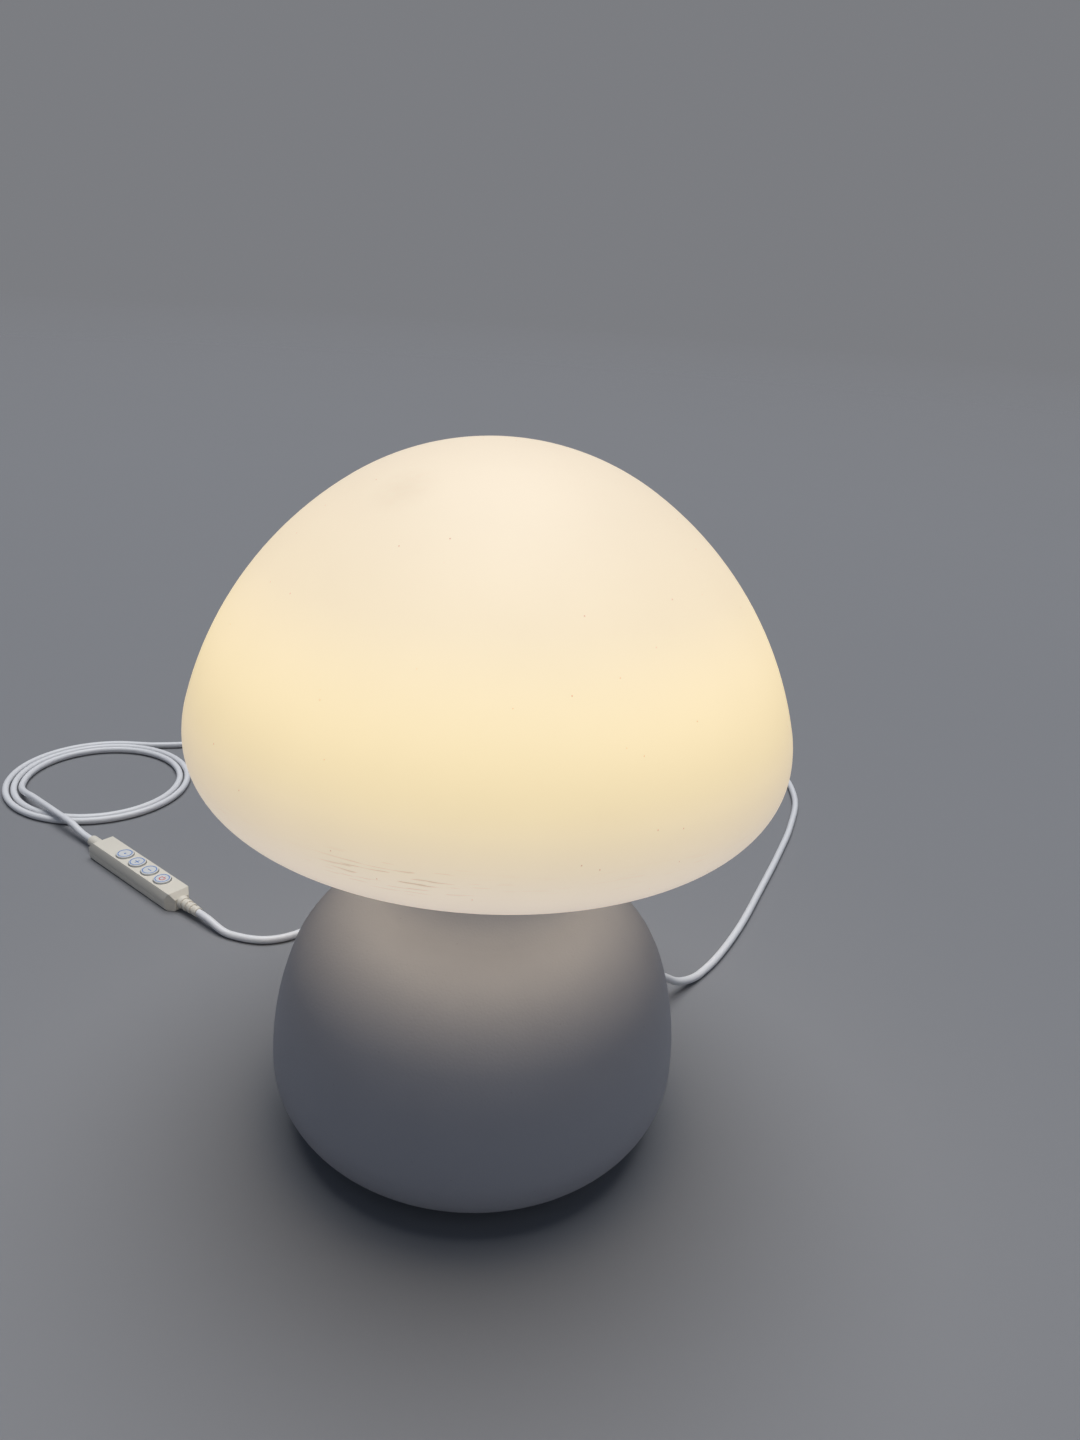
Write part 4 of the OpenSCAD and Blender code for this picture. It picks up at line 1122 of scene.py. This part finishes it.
class LAMP_OT_buttons(bpy.types.Operator):
    """Round push buttons with dished tops, each with a printed ring and mark"""

    bl_idname = "lamp.buttons"
    bl_label = "Buttons"

    def execute(self, context):
        button = context.scene.lamp_button
        blue = printed("finish_print_blue", button.blue)
        red = printed("finish_print_red", button.red)
        for node, mark, ink in (("mode_button", self.dot, blue), ("up_button", self.plus, blue),
                                ("down_button", self.minus, blue), ("power_button", self.power, red)):
            low, high = corners(node)
            at = Vector(((low.x + high.x) / 2, (low.y + high.y) / 2, 0.0))
            body = BODY_OF[node]
            cap = self.cap(button, low.z, high.z, (high.x - low.x) / 2)
            self.add(cap, at, body + "_cap", body, "button_grey", [node])
            ring = bmesh.new()
            bottom, top = self.print_heights(button, high.z, button.ring_radius)
            hoop(ring, button.ring_radius, button.line, bottom, top)
            self.add(ring, at, body + "_ring", body, "button_grey", [], blue)
            sign = bmesh.new()
            bottom, top = self.print_heights(button, high.z, button.ring_radius / 2)
            mark(button, sign, bottom, top)
            turn_about_axis(sign, sign.verts, TAIL_ANGLE)
            self.add(sign, at, body + "_mark", body, "button_red" if ink == red else "button_grey", [], ink)
        return {"FINISHED"}

    def print_heights(self, button, rim, radius):
        """Bottom and top of a print at a radius, on a button with its rim at a height"""
        surface = rim - button.dish + self.dished(button, radius)
        return surface - button.print_depth, surface + button.print_height

    def add(self, bm, at, name, body, slot, replaced, material=None):
        """Put a form at a button's place, as a piece."""
        bmesh.ops.translate(bm, vec=at, verts=bm.verts[:])
        bmesh.ops.recalc_face_normals(bm, faces=bm.faces[:])
        shade_smooth(bm, SHARP)
        piece_from(bm, name, body, slot, replaced, material)

    def dished(self, button, radius):
        """Height of the hollow top at a radius, above its lowest point"""
        ball = self.ball(button)
        return ball - math.sqrt(ball * ball - radius * radius)

    def ball(self, button):
        """Radius of the ball that hollows the top"""
        flat = button.radius - button.edge
        return (flat * flat + button.dish * button.dish) / (2 * button.dish)

    def cap(self, button, low, high, flange_radius):
        """Button with a dished top, a flange that keeps it in and a stem"""
        flat = button.radius - button.edge
        ball = self.ball(button)
        flange = low + button.stem
        outline = Outline(0.0, high - button.dish)
        outline.arc(0.0, high - button.dish + ball, -math.asin(flat / ball), DISH_STEPS)
        outline.arc(flat, high - button.edge, math.pi / 2, RIM_STEPS)
        outline.line(button.radius, flange + button.flange)
        outline.line(flange_radius, flange + button.flange)
        outline.line(flange_radius, flange)
        outline.line(button.stem_radius, flange)
        outline.line(button.stem_radius, low)
        outline.line(0.0, low)
        return outline.turned(button.steps)

    def dot(self, button, bm, low, high):
        bmesh.ops.create_cone(bm, cap_ends=True, segments=DOT_STEPS, radius1=button.dot_radius,
                              radius2=button.dot_radius, depth=high - low,
                              matrix=Matrix.Translation((0.0, 0.0, (low + high) / 2)))

    def plus(self, button, bm, low, high):
        self.minus(button, bm, low, high)
        arm = (button.sign_length - button.line) / 2
        for side in (-0.5, 0.5):
            self.stroke(button, bm, low, high, (button.line, arm), side * (button.line + arm))

    def minus(self, button, bm, low, high):
        self.stroke(button, bm, low, high, (button.sign_length, button.line), 0.0)

    def power(self, button, bm, low, high):
        hoop(bm, button.power_radius, button.line, low, high, math.pi / 2 + button.power_gap,
             math.tau - 2 * button.power_gap, POWER_STEPS)
        self.stroke(button, bm, low, high, (button.line, button.power_radius), button.power_lift)

    def stroke(self, button, bm, low, high, size, off):
        """Straight stroke of a sign"""
        bar(bm, (*size, high - low), (0.0, off, (low + high) / 2), button.print_edge)


class LAMP_OT_plug(bpy.types.Operator):
    """Flat plug with its grip, metal shell, tongue and contacts"""

    bl_idname = "lamp.plug"
    bl_label = "Plug"

    def execute(self, context):
        edge = context.scene.lamp_edge
        skin("plug_body", "plug_grip", edge.grip, long_only=True)
        skin("plug_shell", "plug_cover", edge.shell, long_only=True)
        dress("plug_tongue", "plug_contacts")
        return {"FINISHED"}


class LAMP_OT_cords(bpy.types.Operator):
    """Cord from the base to the switch box, with its loops, and from there to the plug"""

    bl_idname = "lamp.cords"
    bl_label = "Cords"

    def execute(self, context):
        cord = context.scene.lamp_cord
        low = cord.diameter / 2 + cord.lift
        loop_entry = LOOP_MIDDLE + Vector((LOOP_LEAD_IN, cord.loop_radius, low))
        lamp = smooth_route([EXIT_TIP, EXIT_TIP + STRAIGHT_RUN * heading(EXIT_ANGLE)]
                            + [Vector((x * MM, y * MM, share * EXIT_HEIGHT)) for x, y, share in LAMP_DROP]
                            + on_table(LAMP_ROUTE, low)
                            + [loop_entry + Vector((STRAIGHT_RUN, 0.0, 0.0)), loop_entry], low)
        lamp_cord = cord_piece("lamp_cord", lamp + loop_route(cord, low), cord, ["lamp_lead", "lead_loops"])
        on_cord = ["case_top", "case_bottom", "inlet_relief", "switch_board", "tact_switches", "driver_chip"]
        on_cord += [body + part for body in ("mode", "up", "down", "power")
                    for part in ("_cap", "_ring", "_mark")]

        along = heading(TAIL_ANGLE)
        to_outlet = TAIL_LENGTH + INLET_LENGTH + CASE_LENGTH + OUTLET_LENGTH
        start = loop_point(cord, loop_sweep(cord)) + to_outlet * along + CASE_LIFT * AXIS
        plug = smooth_route([start - INTO_CASE * along, start + STRAIGHT_RUN * along]
                            + on_table(PLUG_ROUTE, low)
                            + [PLUG_AT + Vector((STRAIGHT_RUN, 0.0, 0.0)), PLUG_AT], low)
        plug_cord = cord_piece("plug_cord", plug, cord, ["plug_lead"])
        return {"FINISHED"}


class LAMP_PT_panel(bpy.types.Panel):
    """Pieces of the lamp, and their settings"""

    bl_idname = "LAMP_PT_panel"
    bl_label = "Mushroom lamp"
    bl_space_type = "VIEW_3D"
    bl_region_type = "UI"
    bl_category = "Lamp"

    def draw(self, context):
        for operator in OPERATORS:
            self.layout.operator(operator.bl_idname)
        for name in SETTINGS:
            group = getattr(context.scene, name)
            box = self.layout.box()
            for key in group.__annotations__:
                box.prop(group, key)


OPERATORS = (LAMP_OT_stage, LAMP_OT_cap, LAMP_OT_base, LAMP_OT_light_head, LAMP_OT_switch_box,
             LAMP_OT_buttons, LAMP_OT_plug, LAMP_OT_cords)
SETTINGS = {"lamp_cap": CapSettings, "lamp_chip": ChipSettings, "lamp_button": ButtonSettings,
            "lamp_cord": CordSettings, "lamp_edge": EdgeSettings, "lamp_finish": FinishSettings,
            "lamp_stage": StageSettings}


def register():
    for group in SETTINGS.values():
        bpy.utils.register_class(group)
    for name, group in SETTINGS.items():
        setattr(bpy.types.Scene, name, PointerProperty(type=group))
    for operator in OPERATORS:
        bpy.utils.register_class(operator)
    bpy.utils.register_class(LAMP_PT_panel)


def unregister():
    bpy.utils.unregister_class(LAMP_PT_panel)
    for operator in reversed(OPERATORS):
        bpy.utils.unregister_class(operator)
    for name, group in SETTINGS.items():
        delattr(bpy.types.Scene, name)
        bpy.utils.unregister_class(group)


def main():
    register()
    bpy.ops.lamp.stage()
    bpy.ops.lamp.cap()
    bpy.ops.lamp.base()
    bpy.ops.lamp.light_head()
    bpy.ops.lamp.switch_box()
    bpy.ops.lamp.buttons()
    bpy.ops.lamp.plug()
    bpy.ops.lamp.cords()


if __name__ == "__main__":
    main()
